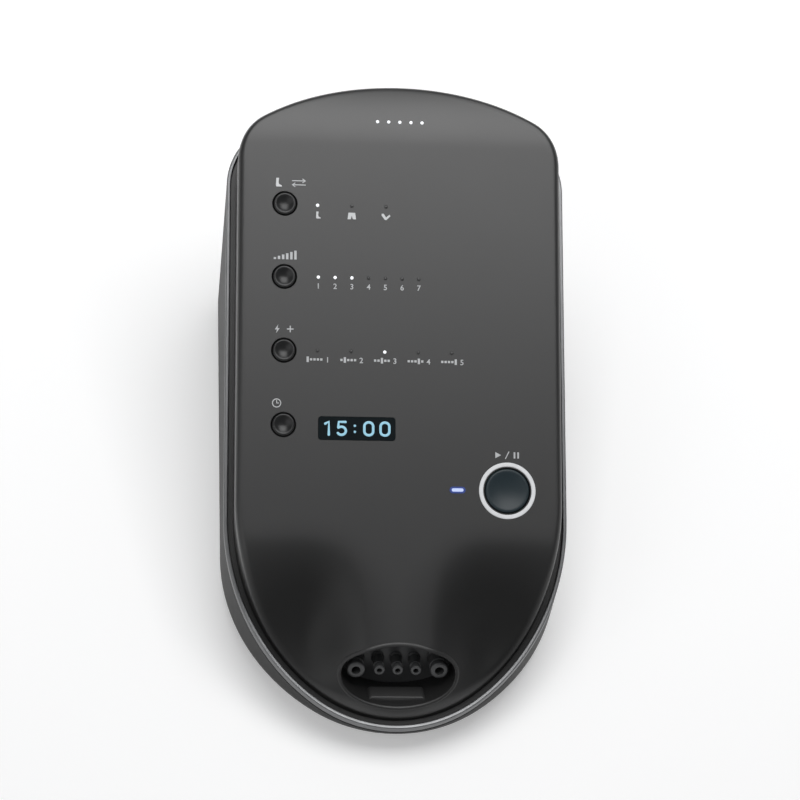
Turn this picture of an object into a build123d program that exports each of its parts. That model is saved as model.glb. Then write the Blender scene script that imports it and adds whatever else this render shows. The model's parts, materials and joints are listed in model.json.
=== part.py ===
"""Control unit of an air-compression therapy system.

An oblong wedge that lies on four rubber feet. A black cover with the controls stands proud of a thin
metal trim ring, and its lower end dips into a scoop round the hose port. The base holds a battery
pack, a piston compressor and a manifold with one valve for each of the five hose channels.

Frame: X to the user's right, Y towards the thick rear end, Z up, origin under the middle of the unit
at the height of the feet. Lengths are in millimetres.
"""
from build123d import *
import os
from math import asin, atan2, cos, hypot, pi, radians, sin, tan

# Overall size
width = 122.0
length = 213.0
height = 109.0
foot_height = 3.0

# Plan outline: parallel sides, a flat round rear end and a nearly semicircular toe
rear_reach = 32.0
rear_nose_radius = 100.0
toe_reach = 69.0
toe_nose_radius = 52.0

# Parting line between base and cover, measured at the top of the trim ring
rim_toe_height = 13.0
rim_rear_height = 98.0
ring_height = 3.0
ring_width = 1.5
flange_thickness = 1.2

# Cover
cover_inset = 3.4
cover_wall = 2.2
cover_toe_height = 25.0
cover_crest_radius = 60.0
cover_edge_radius = 2.4
cover_skirt = 1.2

# Scoop round the hose port; each reach is a distance up the face from the tip of the toe
scoop_depth = 9.4
scoop_reach = 67.8
scoop_full_reach = 15.8
scoop_blend = 0.25
scoop_margin = 4.0
scoop_apron = 20.8
scoop_columns = 54
scoop_rows = 37
hood_half_top = 8.0
hood_half_foot = 34.0
hood_reach = 22.8
hood_apron = 1.2

# Hose port
port_reach = 12.3
port_tilt = 30.0
port_half_width = 20.0
port_half_height = 10.5
port_depth = 14.0
socket_wall = 1.4
nozzle_plate = 2.5
nozzle_length = 9.0
nozzle_places = (-14.6, -6.4, 0.0, 6.4, 14.6)
large_nozzle_radius = 3.2
small_nozzle_radius = 1.9
nozzle_bore = 1.0
barb_radius = 1.6
barb_length = 6.0
tongue_half_width = 10.0
tongue_height = 1.8
tongue_length = 7.0
tongue_set_back = 1.0

# Base
base_wall = 2.6
base_floor = 2.6
base_edge_radius = 8.0
heel_radius = 12.0
heel_lean = 8.0
heel_foot_inset = 9.5
foot_radius = 6.0
foot_seat = 0.8
foot_edge = 23.0
foot_toe_reach = 44.5
foot_rear_reach = 28.5
plate_length = 64.0
plate_width = 28.0
plate_depth = 0.4
plate_corner = 2.0

# Case screws and their bosses
boss_radius = 4.4
boss_edge = 10.5
boss_rear_reach = 28.5
boss_middle_y = -8.0
boss_drop = 1.0
screw_radius = 1.5
screw_head_radius = 2.7
screw_head_height = 1.8
screw_seat = 3.0
screw_bite = 8.0
screw_clearance = 0.3

# Face controls: keys in from the left side, the first down from the top edge, the last up from the toe
key_names = ("attachment_button", "pressure_button", "zone_button", "time_button")
key_edge = 20.0
first_key_down = 46.0
last_key_reach = 100.3
key_radius = 4.0
key_gap = 0.25
key_proud = 0.3
key_dish = 0.9
key_travel = 0.6
start_edge = 23.1
start_reach = 78.1
start_radius = 7.85
start_proud = 0.3
start_dish = 1.1
ring_inner_radius = 8.1
ring_outer_radius = 10.0
flange_step = 1.2
flange_height = 1.0
flange_gap = 0.2
stem_radius = 1.5
stem_length = 0.8

# Display and indicators: across from the column of keys, down from the key of their row
display_across = 25.8
display_drop = 1.0
display_width = 27.0
display_height = 8.2
display_corner = 1.0
display_frame = 3.0
display_gap = 0.6
window_radius = 0.6
window_depth = 3.2
status_across = 17.6
status_length = 5.6
status_width = 2.3
battery_down = 15.0
battery_pitch = 4.0
battery_count = 5
option_across = 23.8
option_drop = 0.4
option_pitch = 12.2
option_count = 3
level_across = 29.85
level_pitch = 5.95
level_count = 7
zone_across = 35.6
zone_pitch = 11.9
zone_count = 5

# Control board under the face
board_depth = 7.0
board_thickness = 1.6
board_edge = 16.5
board_top = 11.0
board_corner = 4.0
board_edge_gap = 0.8
standoff_radius = 2.6
standoff_side = 6.5
standoff_top = 19.0
standoff_low = 8.0
inner_standoff_x = 6.0
board_screw_radius = 1.2
board_screw_head = 2.2
board_screw_length = 5.0
switch_size = 6.0
switch_gap = 0.1
led_length = 1.6
led_width = 1.0
led_height = 0.8
header_length = 12.0
header_width = 5.0
header_height = 6.0
header_x = 25.0
header_row_gap = 40.0
sensor_size = 7.0
sensor_height = 4.0
sensor_rise = 16.0
sensor_nipple = 1.0

# Rear controls, across from the centre line and up the flat heel
jack_x = -17.0
jack_up = 24.0
jack_radius = 4.5
jack_bore = 2.8
jack_pin = 1.0
jack_bore_depth = 9.0
jack_depth = 14.0
jack_nose = 7.0
power_x = 17.0
power_up = 24.0
power_radius = 6.0
power_gap = 0.25
power_proud = 1.0
power_travel = 0.8
power_depth = 5.0
power_switch_height = 3.6
vent_count = 5
vent_pitch = 4.6
vent_up = 39.0
vent_length = 36.0
vent_height = 2.0
power_board_gap = 9.0
power_board_width = 60.0
power_board_low = 9.0
power_board_height = 32.0

# Battery pack: four round cells lying across the unit
cell_radius = 9.1
cell_length = 65.0
cell_gap = 0.15
tray_wall = 1.6
tray_height = 20.0
strap_width = 8.0
strap_thickness = 0.8
strap_gap = 0.1

# Compressor, its shaft across the unit
motor_inset = 1.0
motor_left = -4.0
motor_length = 50.0
motor_edge = 2.0
motor_cap = 6.0
shaft_radius = 2.0
shaft_gap = 0.05
shaft_end_gap = 2.0
crank_radius = 6.0
crank_throw = 3.0
crank_width = 8.0
case_left = -40.0
case_length = 34.0
case_width = 42.0
case_wall = 3.0
case_edge = 4.0
cylinder_radius = 12.0
cylinder_wall = 3.0
cylinder_height = 12.0
rod_gap = 0.3
rod_wall = 2.6
rod_width = 5.0
rod_side_gap = 1.0
piston_height = 5.0
piston_gap = 0.1
head_height = 7.0
head_clearance = 7.0
spigot_radius = 2.5
spigot_length = 8.0
cradle_thickness = 2.0
saddle_width = 3.0
saddle_inset = 6.0
mount_radius = 5.0
mount_height = 4.4
mount_edge = 1.0
filter_radius = 4.5
filter_height = 10.0

# Valve manifold and air tubes
manifold_reach = 76.5
manifold_bottom = 8.0
manifold_height = 10.0
manifold_width = 14.0
manifold_corner = 2.0
valve_pitch = 15.0
valve_size = 12.6
valve_height = 13.0
valve_edge = 1.0
vent_valve_radius = 3.6
vent_valve_height = 14.0
inlet_across = 40.5
outlet_radius = 1.6
outlet_length = 6.0
outlet_up = 5.0
tube_radius = 2.7
tube_lead = 4.0
hose_radius = 3.4
hose_rise = 18.0

# Derived sizes: the face and the rim
slope = (rim_rear_height - rim_toe_height) / length
crest = Vector(length / 2 - cover_inset, height - cover_crest_radius)
to_crest = Vector(crest.X + length / 2, crest.Y - cover_toe_height)
face_angle = atan2(to_crest.Y, to_crest.X) + asin(cover_crest_radius / hypot(to_crest.X, to_crest.Y))
inside_bottom = foot_height + base_floor
big = 2 * length


def rim_height(y):
    """Height of the top of the trim ring at a place along the unit."""
    return rim_toe_height + (y + length / 2) * slope


def top_of_face():
    """Point of the flat face that lies square in front of the cover's top edge, in Y and Z."""
    normal = Vector(-sin(face_angle), cos(face_angle))
    toe = Vector(-length / 2, cover_toe_height)
    top = Vector(length / 2 - cover_inset, height)
    return top - normal * (top - toe).dot(normal)


face_top = top_of_face()
face = Plane(
    origin=(0, face_top.X, face_top.Y),
    x_dir=(1, 0, 0),
    z_dir=(0, -sin(face_angle), cos(face_angle)),
)
toe_down = (face_top - Vector(-length / 2, cover_toe_height)).length


def on_face(x, down, depth=0.0):
    """Place on the face: across, down from the top edge, and in below the surface."""
    return face * Pos(x, -down, -depth)


def heel_plane(x, up):
    """Place on the flat heel, its Z axis pointing out of the unit."""
    lean = radians(heel_lean)
    y = length / 2 - heel_foot_inset + up * tan(lean)
    return Plane(origin=(x, y, up), x_dir=(-1, 0, 0), z_dir=(0, cos(lean), -sin(lean)))


def row_places(middle, down, pitch, count):
    """Places of a row of indicator windows: across and down."""
    return [(middle + (i - (count - 1) / 2) * pitch, down) for i in range(count)]


def board_under(y):
    """Height of the control board's underside at a place along the unit."""
    return face_top.Y + (y - face_top.X) * tan(face_angle) - (board_depth + board_thickness) / cos(face_angle)


# Derived places on the face
scoop_start = toe_down - scoop_reach
scoop_end = toe_down - scoop_full_reach
hood_end = toe_down - hood_reach
hood_foot = toe_down + hood_apron
port_down = toe_down - port_reach
key_x = key_edge - width / 2
key_pitch = (toe_down - last_key_reach - first_key_down) / (len(key_names) - 1)
key_rows = {name: first_key_down + i * key_pitch for i, name in enumerate(key_names)}
start_x = width / 2 - start_edge
start_down = toe_down - start_reach
display_x = key_x + display_across
display_down = key_rows["time_button"] + display_drop
status_x = start_x - status_across
option_down = key_rows["attachment_button"] + option_drop
window_rows = {
    "battery_windows": row_places(0.0, battery_down, battery_pitch, battery_count),
    "option_windows": row_places(key_x + option_across, option_down, option_pitch, option_count),
    "level_windows": row_places(key_x + level_across, key_rows["pressure_button"], level_pitch, level_count),
    "zone_windows": row_places(key_x + zone_across, key_rows["zone_button"], zone_pitch, zone_count),
}
board_half_width = width / 2 - board_edge
board_bottom = scoop_start
standoff_x = board_half_width - standoff_side
standoff_places = (
    (-standoff_x, board_top + standoff_top),
    (standoff_x, board_top + standoff_top),
    (-standoff_x, board_bottom - standoff_low),
    (inner_standoff_x, board_bottom - standoff_low),
)

# Derived places in the base: manifold, battery and compressor share the room before the power board
foot_x = width / 2 - foot_edge
foot_front_y = foot_toe_reach - length / 2
foot_rear_y = length / 2 - foot_rear_reach
boss_rear_y = length / 2 - boss_rear_reach
manifold_y = manifold_reach - length / 2
tray_depth = 4 * cell_radius + 3 * cell_gap + 2 * tray_wall
bay_end = length / 2 - heel_foot_inset - base_wall - power_board_gap - board_thickness
bay_gap = (bay_end - manifold_y - manifold_width / 2 - tray_depth - case_width) / 3
cells_y = manifold_y + manifold_width / 2 + bay_gap + tray_depth / 2
cells_top = inside_bottom + tray_wall + 4 * cell_radius + cell_gap
pump_y = cells_y + tray_depth / 2 + bay_gap + case_width / 2
pump_room = board_under(pump_y - cylinder_radius - cylinder_wall) - head_clearance - inside_bottom
case_height = pump_room - mount_height - cradle_thickness - cylinder_height - head_height
pump_z = inside_bottom + mount_height + cradle_thickness + case_height / 2
chamber_radius = case_height / 2 - case_wall
motor_radius = case_height / 2 - motor_inset


# Shared forms ----------------------------------------------------------------


def end_points(reach, nose_radius, inset, towards):
    """Right half of a rounded end: side point, middle of the corner, joint with the nose, tip."""
    half = width / 2
    corner = (half**2 + (nose_radius - reach) ** 2 - nose_radius**2) / (2 * (half - nose_radius))
    corner_centre = Vector(half - corner, towards * (length / 2 - reach))
    nose_centre = Vector(0, towards * (length / 2 - nose_radius))
    along = (corner_centre - nose_centre) * (1 if nose_radius > corner else -1)
    turn = atan2(along.Y, along.X)
    points = [corner_centre + Vector(cos(a), sin(a)) * (corner - inset) for a in (0, turn / 2, turn)]
    return points + [Vector(0, towards * (length / 2 - inset))]


def mirrored(point):
    return Vector(-point.X, point.Y)


def outline(inset):
    """Plan outline of the unit, drawn in from the widest one."""
    side, bend, joint, tip = end_points(rear_reach, rear_nose_radius, inset, 1)
    toe_side, toe_bend, toe_joint, toe_tip = end_points(toe_reach, toe_nose_radius, inset, -1)
    edges = [
        Line(toe_side, side),
        ThreePointArc(side, bend, joint),
        ThreePointArc(joint, tip, mirrored(joint)),
        ThreePointArc(mirrored(joint), mirrored(bend), mirrored(side)),
        Line(mirrored(side), mirrored(toe_side)),
        ThreePointArc(mirrored(toe_side), mirrored(toe_bend), mirrored(toe_joint)),
        ThreePointArc(mirrored(toe_joint), toe_tip, toe_joint),
        ThreePointArc(toe_joint, toe_bend, toe_side),
    ]
    return make_face(edges)


def column(inset, bottom=0.0):
    """Upright prism of the plan outline."""
    return extrude(Pos(0, 0, bottom) * outline(inset), amount=2 * height)


def side_form(points):
    """Side profile in Y and Z, extruded right across the unit."""
    return extrude(Plane.YZ * make_face(Polyline(*points, close=True)), amount=width, both=True)


def under_rim(rise):
    """Everything below a plane that runs a given height above the top of the trim ring."""
    left, right = rim_height(-length) + rise, rim_height(length) + rise
    return side_form([(-length, -height), (length, -height), (length, right), (-length, left)])


def under_face(depth):
    """Everything below the face surface, which is flat and rounds over at its top end."""
    radius = cover_crest_radius - depth
    along = Vector(cos(face_angle), sin(face_angle))
    join = crest + Vector(-sin(face_angle), cos(face_angle)) * radius
    start = join - along * big
    middle = crest + Vector(-sin(face_angle / 2), cos(face_angle / 2)) * radius
    top = crest + Vector(0, radius)
    rim = [
        Line(start, join),
        ThreePointArc(join, middle, top),
        Polyline(top, (length, top.Y), (length, -big), (start.X, -big), start),
    ]
    return extrude(Plane.YZ * make_face(Curve() + rim), amount=width, both=True)


def ease(value):
    """Smooth step from 0 to 1."""
    return (1 - cos(pi * min(max(value, 0.0), 1.0))) / 2


def dip(x, down):
    """Depth of the scoop below the flat face; the hood over the port stays up."""
    fall = ease((down - scoop_start) / (scoop_end - scoop_start))
    across = 1 - ease((abs(x) - hood_half_top) / (hood_half_foot - hood_half_top))
    along = 1 - ease((down - hood_end) / (hood_foot - hood_end))
    return scoop_depth * fall * (1 - across * along) - scoop_blend


def scoop(shift=0.0):
    """Cutter above the scooped surface."""
    across = [width * 9 / 8 * (i / scoop_columns - 0.5) for i in range(scoop_columns + 1)]
    top, fall = scoop_start - scoop_margin, scoop_reach + scoop_margin + scoop_apron
    rows = [top + fall * i / scoop_rows for i in range(scoop_rows + 1)]
    points = [[on_face(x, down, dip(x, down) + shift).position for x in across] for down in rows]
    surface = Face.make_surface_from_array_of_points(points, tol=0.02)
    return Solid.extrude(surface, face.z_dir * (scoop_depth * 3))


def base_form(inset):
    """Outer form of the base, or its hollow when drawn in by the wall."""
    bottom = foot_height + (base_floor if inset else 0)
    body = column(inset, bottom)
    body = fillet(body.edges().group_by(Axis.Z)[0], base_edge_radius - inset)
    lean = tan(radians(heel_lean))
    heel_y = length / 2 - heel_foot_inset - inset / cos(radians(heel_lean))
    section = make_face(
        Polyline(
            (-length, bottom),
            (heel_y + bottom * lean, bottom),
            (heel_y + big * lean, big),
            (-length, big),
            close=True,
        )
    )
    corner = section.vertices().group_by(Axis.Y)[0].sort_by(Axis.X)[-1]
    keep = extrude(Plane.YZ * fillet(corner, heel_radius - inset), amount=width, both=True)
    return body & keep


def cover_form(depth=0.0):
    """Outer form of the cover, or its hollow when drawn in by the wall."""
    form = column(cover_inset + depth) & under_face(depth)
    if not depth:
        form = fillet(top_edges(form), cover_edge_radius)
    return form - scoop(depth)


def top_edges(form):
    """Edges between the face and the side wall: neither upright nor straight across."""
    chosen = []
    for edge in form.edges():
        way = edge.tangent_at(0.5)
        across = edge.geom_type == GeomType.LINE and abs(way.X) > 0.9
        upright = edge.geom_type == GeomType.LINE and abs(way.Z) > 0.9
        if edge.center().Z > cover_toe_height / 2 and not across and not upright:
            chosen.append(edge)
    return chosen


def rod_from(low, high, radius):
    """Round bar along the local Z axis between two heights."""
    return Pos(0, 0, low) * Cylinder(radius, high - low, align=(Align.CENTER, Align.CENTER, Align.MIN))


def group(solids):
    """Several separate solids in one node."""
    return Compound(children=[solid for item in solids for solid in item.solids()])


boss_x = width / 2 - boss_edge
boss_places = [
    (side * x, y)
    for side in (-1, 1)
    for x, y in ((boss_x, boss_rear_y), (boss_x, boss_middle_y), (foot_x, foot_front_y))
]


def boss_height(y):
    """Height of the joint between the base's bosses and the cover's."""
    return rim_height(y) - ring_height - boss_drop


# Case -------------------------------------------------------------------------


def base_shell():
    hollow = base_form(base_wall)
    shell = (base_form(0.0) - hollow) & under_rim(-ring_height)
    room = hollow + shell
    for x, y in boss_places:
        boss = Pos(x, y) * rod_from(inside_bottom - base_floor / 2, boss_height(y), boss_radius)
        shell += boss & room
    for x, y in boss_places:
        seat = boss_height(y) - screw_seat
        shell -= Pos(x, y) * rod_from(0, seat, screw_head_radius + screw_clearance)
        shell -= Pos(x, y) * rod_from(0, boss_height(y) + 1, screw_radius + screw_clearance)
    for x, y in foot_places():
        shell -= Pos(x, y) * rod_from(0, foot_height + foot_seat, foot_radius)
    plate = RectangleRounded(plate_length, plate_width, plate_corner)
    shell -= Pos(0, cells_y) * extrude(plate, amount=foot_height + plate_depth)
    shell -= heel_plane(jack_x, jack_up) * rod_from(-base_wall * 2, base_wall * 2, jack_radius)
    shell -= heel_plane(power_x, power_up) * rod_from(-base_wall * 2, base_wall * 2, power_radius + power_gap)
    for i in range(vent_count):
        slot = extrude(SlotOverall(vent_length, vent_height), amount=base_wall * 2, both=True)
        shell -= heel_plane(0, vent_up + i * vent_pitch) * slot
    return shell


def foot_places():
    return [(x, y) for y in (foot_front_y, foot_rear_y) for x in (-foot_x, foot_x)]


def rubber_feet():
    foot = rod_from(0, foot_height + foot_seat, foot_radius)
    foot = fillet(foot.edges().group_by(Axis.Z)[0], foot_height / 4)
    return group([Pos(x, y) * foot for x, y in foot_places()])


def case_screws():
    screws = []
    for x, y in boss_places:
        seat = boss_height(y) - screw_seat
        screw = rod_from(seat - screw_head_height, seat, screw_head_radius)
        screw += rod_from(seat, boss_height(y) + screw_bite, screw_radius)
        screws.append(Pos(x, y) * screw)
    return group(screws)


def trim_ring():
    ring = column(0.0) - column(ring_width)
    return (ring & under_rim(0.0)) - under_rim(-ring_height)


def face_cover():
    outer = cover_form()
    hollow = cover_form(cover_wall)
    cover = outer - hollow - under_rim(-ring_height - cover_skirt)
    lip = column(ring_width) - column(cover_inset + cover_wall / 2)
    cover += (lip & under_rim(flange_thickness - ring_height)) - under_rim(-ring_height)
    for x, y in boss_places:
        low = boss_height(y)
        boss = Pos(x, y) * rod_from(low, height, boss_radius) & outer
        cover += boss
        cover -= Pos(x, y) * rod_from(low - 1, low + screw_bite, screw_radius)
    for x, down in standoff_places:
        standoff = on_face(x, down) * rod_from(-board_depth, -cover_wall / 2, standoff_radius)
        cover += standoff
        bite = board_screw_length - board_thickness
        cover -= on_face(x, down) * rod_from(-board_depth, bite - board_depth, board_screw_radius)
    for down in key_rows.values():
        cover -= on_face(key_x, down) * rod_from(-2 * cover_wall, cover_wall, key_radius + key_gap)
    cover -= on_face(start_x, start_down) * rod_from(-2 * cover_wall, cover_wall, ring_outer_radius)
    cover -= on_face(display_x, display_down) * display_block(-2 * cover_wall, cover_wall)
    for row in window_rows.values():
        for x, down in row:
            cover -= on_face(x, down) * rod_from(-window_depth, cover_wall, window_radius)
    cover -= on_face(status_x, start_down) * status_block(-window_depth, cover_wall)
    cover -= port_place() * port_bar(-port_depth - big, big, socket_wall)
    return cover


def display_block(low, high):
    window = RectangleRounded(display_width, display_height, display_corner)
    return Pos(0, 0, low) * extrude(window, amount=high - low)


def status_block(low, high):
    return Pos(0, 0, low) * extrude(SlotOverall(status_length, status_width), amount=high - low)


# Hose port ----------------------------------------------------------------------


def port_place():
    """Centre of the port's mouth, its Z axis pointing out of the port."""
    centre = on_face(0, port_down, dip(0, port_down)).position
    tilt = radians(port_tilt)
    return Plane(origin=centre, x_dir=(1, 0, 0), z_dir=(0, -cos(tilt), sin(tilt)))


def port_bar(low, high, grow):
    """Oval bar along the port's axis."""
    oval = Ellipse(port_half_width + grow, port_half_height + grow)
    return Pos(0, 0, low) * extrude(oval, amount=high - low)


def port_socket():
    sleeve = port_bar(-port_depth - nozzle_plate, big / 8, socket_wall)
    sleeve -= port_bar(-port_depth - nozzle_plate - 1, big / 4, 0)
    tongue = Pos(0, -port_half_height, -tongue_length / 2 - tongue_set_back) * Box(
        2 * tongue_half_width, 2 * tongue_height, tongue_length
    )
    tongue = fillet(tongue.edges().filter_by(Axis.Z), tongue_height * 0.9) & port_bar(-port_depth, big / 8, 0)
    socket = port_place() * (sleeve + tongue)
    return socket & cover_form()


def port_nozzles():
    plate = port_bar(-port_depth - nozzle_plate, -port_depth, 0)
    for x in nozzle_places:
        radius = large_nozzle_radius if abs(x) == max(nozzle_places) else small_nozzle_radius
        nozzle = Pos(x, 0) * rod_from(-port_depth, nozzle_length - port_depth, radius)
        nozzle = chamfer(nozzle.edges().group_by(Axis.Z)[-1], radius / 5)
        back = -port_depth - nozzle_plate
        plate += nozzle + Pos(x, 0) * rod_from(back - barb_length, back, barb_radius)
        plate -= Pos(x, 0) * rod_from(back - barb_length, nozzle_length - port_depth, nozzle_bore)
    return port_place() * plate


# Face controls --------------------------------------------------------------------


def button(radius, proud, dish, bore):
    """Round key with a dished top, a retaining flange and a stem for its switch."""
    cap = rod_from(-cover_wall - flange_gap, proud, radius)
    cap = fillet(cap.edges().group_by(Axis.Z)[-1], proud)
    hollow = (radius * 0.8) ** 2 / (2 * dish) + dish / 2
    cap -= Pos(0, 0, proud - dish + hollow) * Sphere(hollow)
    top = -cover_wall - flange_gap
    flange = rod_from(top - flange_height, top, bore + flange_step)
    stem = rod_from(top - flange_height - stem_length, top - flange_height, stem_radius)
    return cap + flange + stem


def mode_button(name):
    return on_face(key_x, key_rows[name]) * button(key_radius, key_proud, key_dish, key_radius + key_gap)


def start_button():
    return on_face(start_x, start_down) * button(start_radius, start_proud, start_dish, ring_inner_radius)


def start_ring():
    ring = rod_from(-cover_wall, start_proud, ring_outer_radius)
    ring -= rod_from(-cover_wall, cover_wall, ring_inner_radius)
    ring = fillet(ring.edges().group_by(Axis.Z)[-1], start_proud)
    return on_face(start_x, start_down) * ring


def display_lens():
    return on_face(display_x, display_down) * display_block(-cover_wall, 0)


def windows(row):
    pipes = [on_face(x, down) * rod_from(-window_depth, cover_wall, window_radius) for x, down in row]
    return group([pipe & under_face(0.0) for pipe in pipes])


def status_window():
    return on_face(status_x, start_down) * status_block(-window_depth, 0)


# Control board -----------------------------------------------------------------------


def control_board():
    middle = (board_top + board_bottom) / 2
    sheet = RectangleRounded(2 * board_half_width, board_bottom - board_top, board_corner)
    board = on_face(0, middle, board_depth + board_thickness) * extrude(sheet, amount=board_thickness)
    for x, down in standoff_places:
        board -= on_face(x, down) * rod_from(-board_depth - board_thickness, -board_depth, board_screw_radius)
    return board & column(cover_inset + cover_wall + board_edge_gap)


def board_screws():
    screws = []
    for x, down in standoff_places:
        under = -board_depth - board_thickness
        screw = rod_from(under, under + board_screw_length, board_screw_radius)
        screw += rod_from(under - board_screw_radius, under, board_screw_head)
        screws.append(on_face(x, down) * screw)
    return group(screws)


def key_switches():
    """Tact switches: a square body and a round plunger below each key's stem."""
    stem_end = cover_wall + flange_gap + flange_height + stem_length
    plunger_top = stem_end + key_travel + switch_gap
    body_top = plunger_top + (board_depth - plunger_top) / 2
    switches = []
    for x, down in [(key_x, down) for down in key_rows.values()] + [(start_x, start_down)]:
        body = Box(switch_size, switch_size, board_depth - body_top)
        body = Pos(0, 0, -(board_depth + body_top) / 2) * body
        switches.append(on_face(x, down) * (body + rod_from(-body_top, -plunger_top, stem_radius)))
    return group(switches)


def indicator_leds():
    places = [place for row in window_rows.values() for place in row] + [(status_x, start_down)]
    chip = Box(led_length, led_width, led_height)
    return group([on_face(x, down, board_depth - led_height / 2) * chip for x, down in places])


def display_module():
    depth = board_depth - cover_wall - display_gap
    body = Box(display_width + display_frame, display_height + display_frame, depth)
    return on_face(display_x, display_down, board_depth - depth / 2) * body


def under_board(x, down, length_across, length_down, thickness):
    """Block fixed to the underside of the control board."""
    block = Box(length_across, length_down, thickness)
    return on_face(x, down, board_depth + board_thickness + thickness / 2) * block


def board_headers():
    """Two wire headers, one for the compressor and battery and one for the valves."""
    middle = (board_top + board_bottom) / 2
    downs = [middle + side * header_row_gap / 2 for side in (-1, 1)]
    return group([under_board(header_x, down, header_length, header_width, header_height) for down in downs])


def pressure_sensors():
    """A sensor with its nipple for each hose channel."""
    sensors = []
    down = board_bottom - sensor_rise
    low = board_depth + board_thickness + sensor_height
    for x in valve_places():
        nipple = on_face(x, down, low) * rod_from(-sensor_height, 0, sensor_nipple)
        sensors.append(under_board(x, down, sensor_size, sensor_size, sensor_height) + nipple)
    return group(sensors)


# Rear controls ----------------------------------------------------------------------


def power_jack():
    jack = rod_from(-jack_nose, 0, jack_radius)
    back = Box(2 * jack_radius, 2 * jack_radius, jack_depth - base_wall)
    jack += Pos(0, 0, -(jack_depth + base_wall) / 2) * back
    jack -= rod_from(-jack_bore_depth, 1, jack_bore)
    jack += rod_from(-jack_bore_depth, -jack_pin, jack_pin)
    return heel_plane(jack_x, jack_up) * jack


def power_button():
    cap = rod_from(-power_depth, power_proud, power_radius)
    cap = fillet(cap.edges().group_by(Axis.Z)[-1], power_proud * 0.6)
    cap += rod_from(-power_depth, -power_depth + flange_height, power_radius + flange_step)
    return heel_plane(power_x, power_up) * cap


def power_switch():
    foot = -power_board_gap - base_wall
    body = Pos(0, 0, foot + power_switch_height / 2) * Box(switch_size, switch_size, power_switch_height)
    top = -power_depth - power_travel - switch_gap
    return heel_plane(power_x, power_up) * (body + rod_from(foot, top, stem_radius))


def power_board():
    middle = power_board_low + power_board_height / 2
    board = Pos(0, 0, -power_board_gap - base_wall - board_thickness / 2) * Box(
        power_board_width, power_board_height, board_thickness
    )
    board = heel_plane(0, middle) * board
    return board - heel_plane(jack_x, jack_up) * (
        Pos(0, 0, -jack_depth / 2) * Box(2 * jack_radius, 2 * jack_radius, jack_depth * 2)
    )


# Battery ---------------------------------------------------------------------------------


def cell_places():
    pitch = 2 * cell_radius + cell_gap
    low = inside_bottom + tray_wall + cell_radius
    return [(cells_y + (i - 0.5) * pitch, low + j * pitch) for i in (0, 1) for j in (0, 1)]


def battery_cells():
    cell = Rot(0, 90, 0) * Cylinder(cell_radius, cell_length)
    return group([Pos(0, y, z) * cell for y, z in cell_places()])


def battery_tray():
    inner = (cell_length + 2 * cell_gap, 4 * cell_radius + 3 * cell_gap)
    outer = [size + 2 * tray_wall for size in inner]
    bottom_up = (Align.CENTER, Align.CENTER, Align.MIN)
    tray = Pos(0, cells_y, inside_bottom) * Box(*outer, tray_height, align=bottom_up)
    return tray - Pos(0, cells_y, inside_bottom + tray_wall) * Box(*inner, tray_height, align=bottom_up)


def battery_straps():
    """Two bands over the cells and down both sides of the tray."""
    depth, top = tray_depth + 2 * strap_gap, cells_top + strap_gap - inside_bottom
    bottom_up = (Align.CENTER, Align.CENTER, Align.MIN)
    band = Box(strap_width, depth + 2 * strap_thickness, top + strap_thickness, align=bottom_up)
    band -= Box(strap_width, depth, top, align=bottom_up)
    return group([Pos(side * cell_length / 4, cells_y, inside_bottom) * band for side in (-1, 1)])


# Compressor ---------------------------------------------------------------------------------


def along_shaft(low, high, radius):
    """Round bar on the shaft's line between two places across the unit."""
    bar = rod_from(0, high - low, radius)
    return Pos(low, pump_y, pump_z) * Rot(0, 90, 0) * bar


def pump_motor():
    motor = along_shaft(motor_left, motor_left + motor_length, motor_radius)
    motor = chamfer(motor.edges().group_by(Axis.X)[-1], motor_edge)
    return motor - along_shaft(motor_left, motor_left + motor_length - motor_cap, shaft_radius + shaft_gap)


def crank_left():
    return case_left + (case_length - crank_width) / 2


def pump_crankshaft():
    shaft_end = motor_left + motor_length - motor_cap - shaft_end_gap
    shaft = along_shaft(crank_left() - shaft_end_gap, shaft_end, shaft_radius)
    left = crank_left()
    disc = Pos(0, 0, crank_throw) * along_shaft(left, left + crank_width, crank_radius)
    return shaft + disc


def pump_axis():
    """Place of the cylinder's axis."""
    return Pos(case_left + case_length / 2, pump_y)


def pump_crankcase():
    case = pump_axis() * Pos(0, 0, pump_z) * Box(case_length, case_width, case_height)
    case = fillet(case.edges().filter_by(Axis.Z), case_edge)
    case -= along_shaft(case_left + case_wall, case_left + case_length - case_wall, chamber_radius)
    case -= along_shaft(case_left + case_length / 2, case_left + case_length, shaft_radius + shaft_gap)
    top = pump_z + case_height / 2
    barrel = rod_from(top - case_wall, top + cylinder_height, cylinder_radius + cylinder_wall)
    bore = rod_from(pump_z, top + cylinder_height, cylinder_radius)
    return case + pump_axis() * barrel - pump_axis() * bore


def pump_piston():
    """Piston and rod at mid stroke; the big end leaves room for the crank's whole turn."""
    left = crank_left()
    bore = crank_throw + crank_radius + rod_gap
    ring = along_shaft(left + rod_side_gap, left + crank_width - rod_side_gap, bore + rod_wall)
    ring -= along_shaft(left, left + crank_width, bore)
    crown = pump_z + case_height / 2 + (cylinder_height - piston_height) / 2
    foot = pump_z + bore + rod_wall / 2
    rod = Pos(0, 0, (foot + crown) / 2) * Box(crank_width - 2 * rod_side_gap, rod_width, crown - foot)
    piston = rod_from(crown, crown + piston_height, cylinder_radius - piston_gap)
    return ring + pump_axis() * rod + pump_axis() * piston


def head_bottom():
    return pump_z + case_height / 2 + cylinder_height


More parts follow.
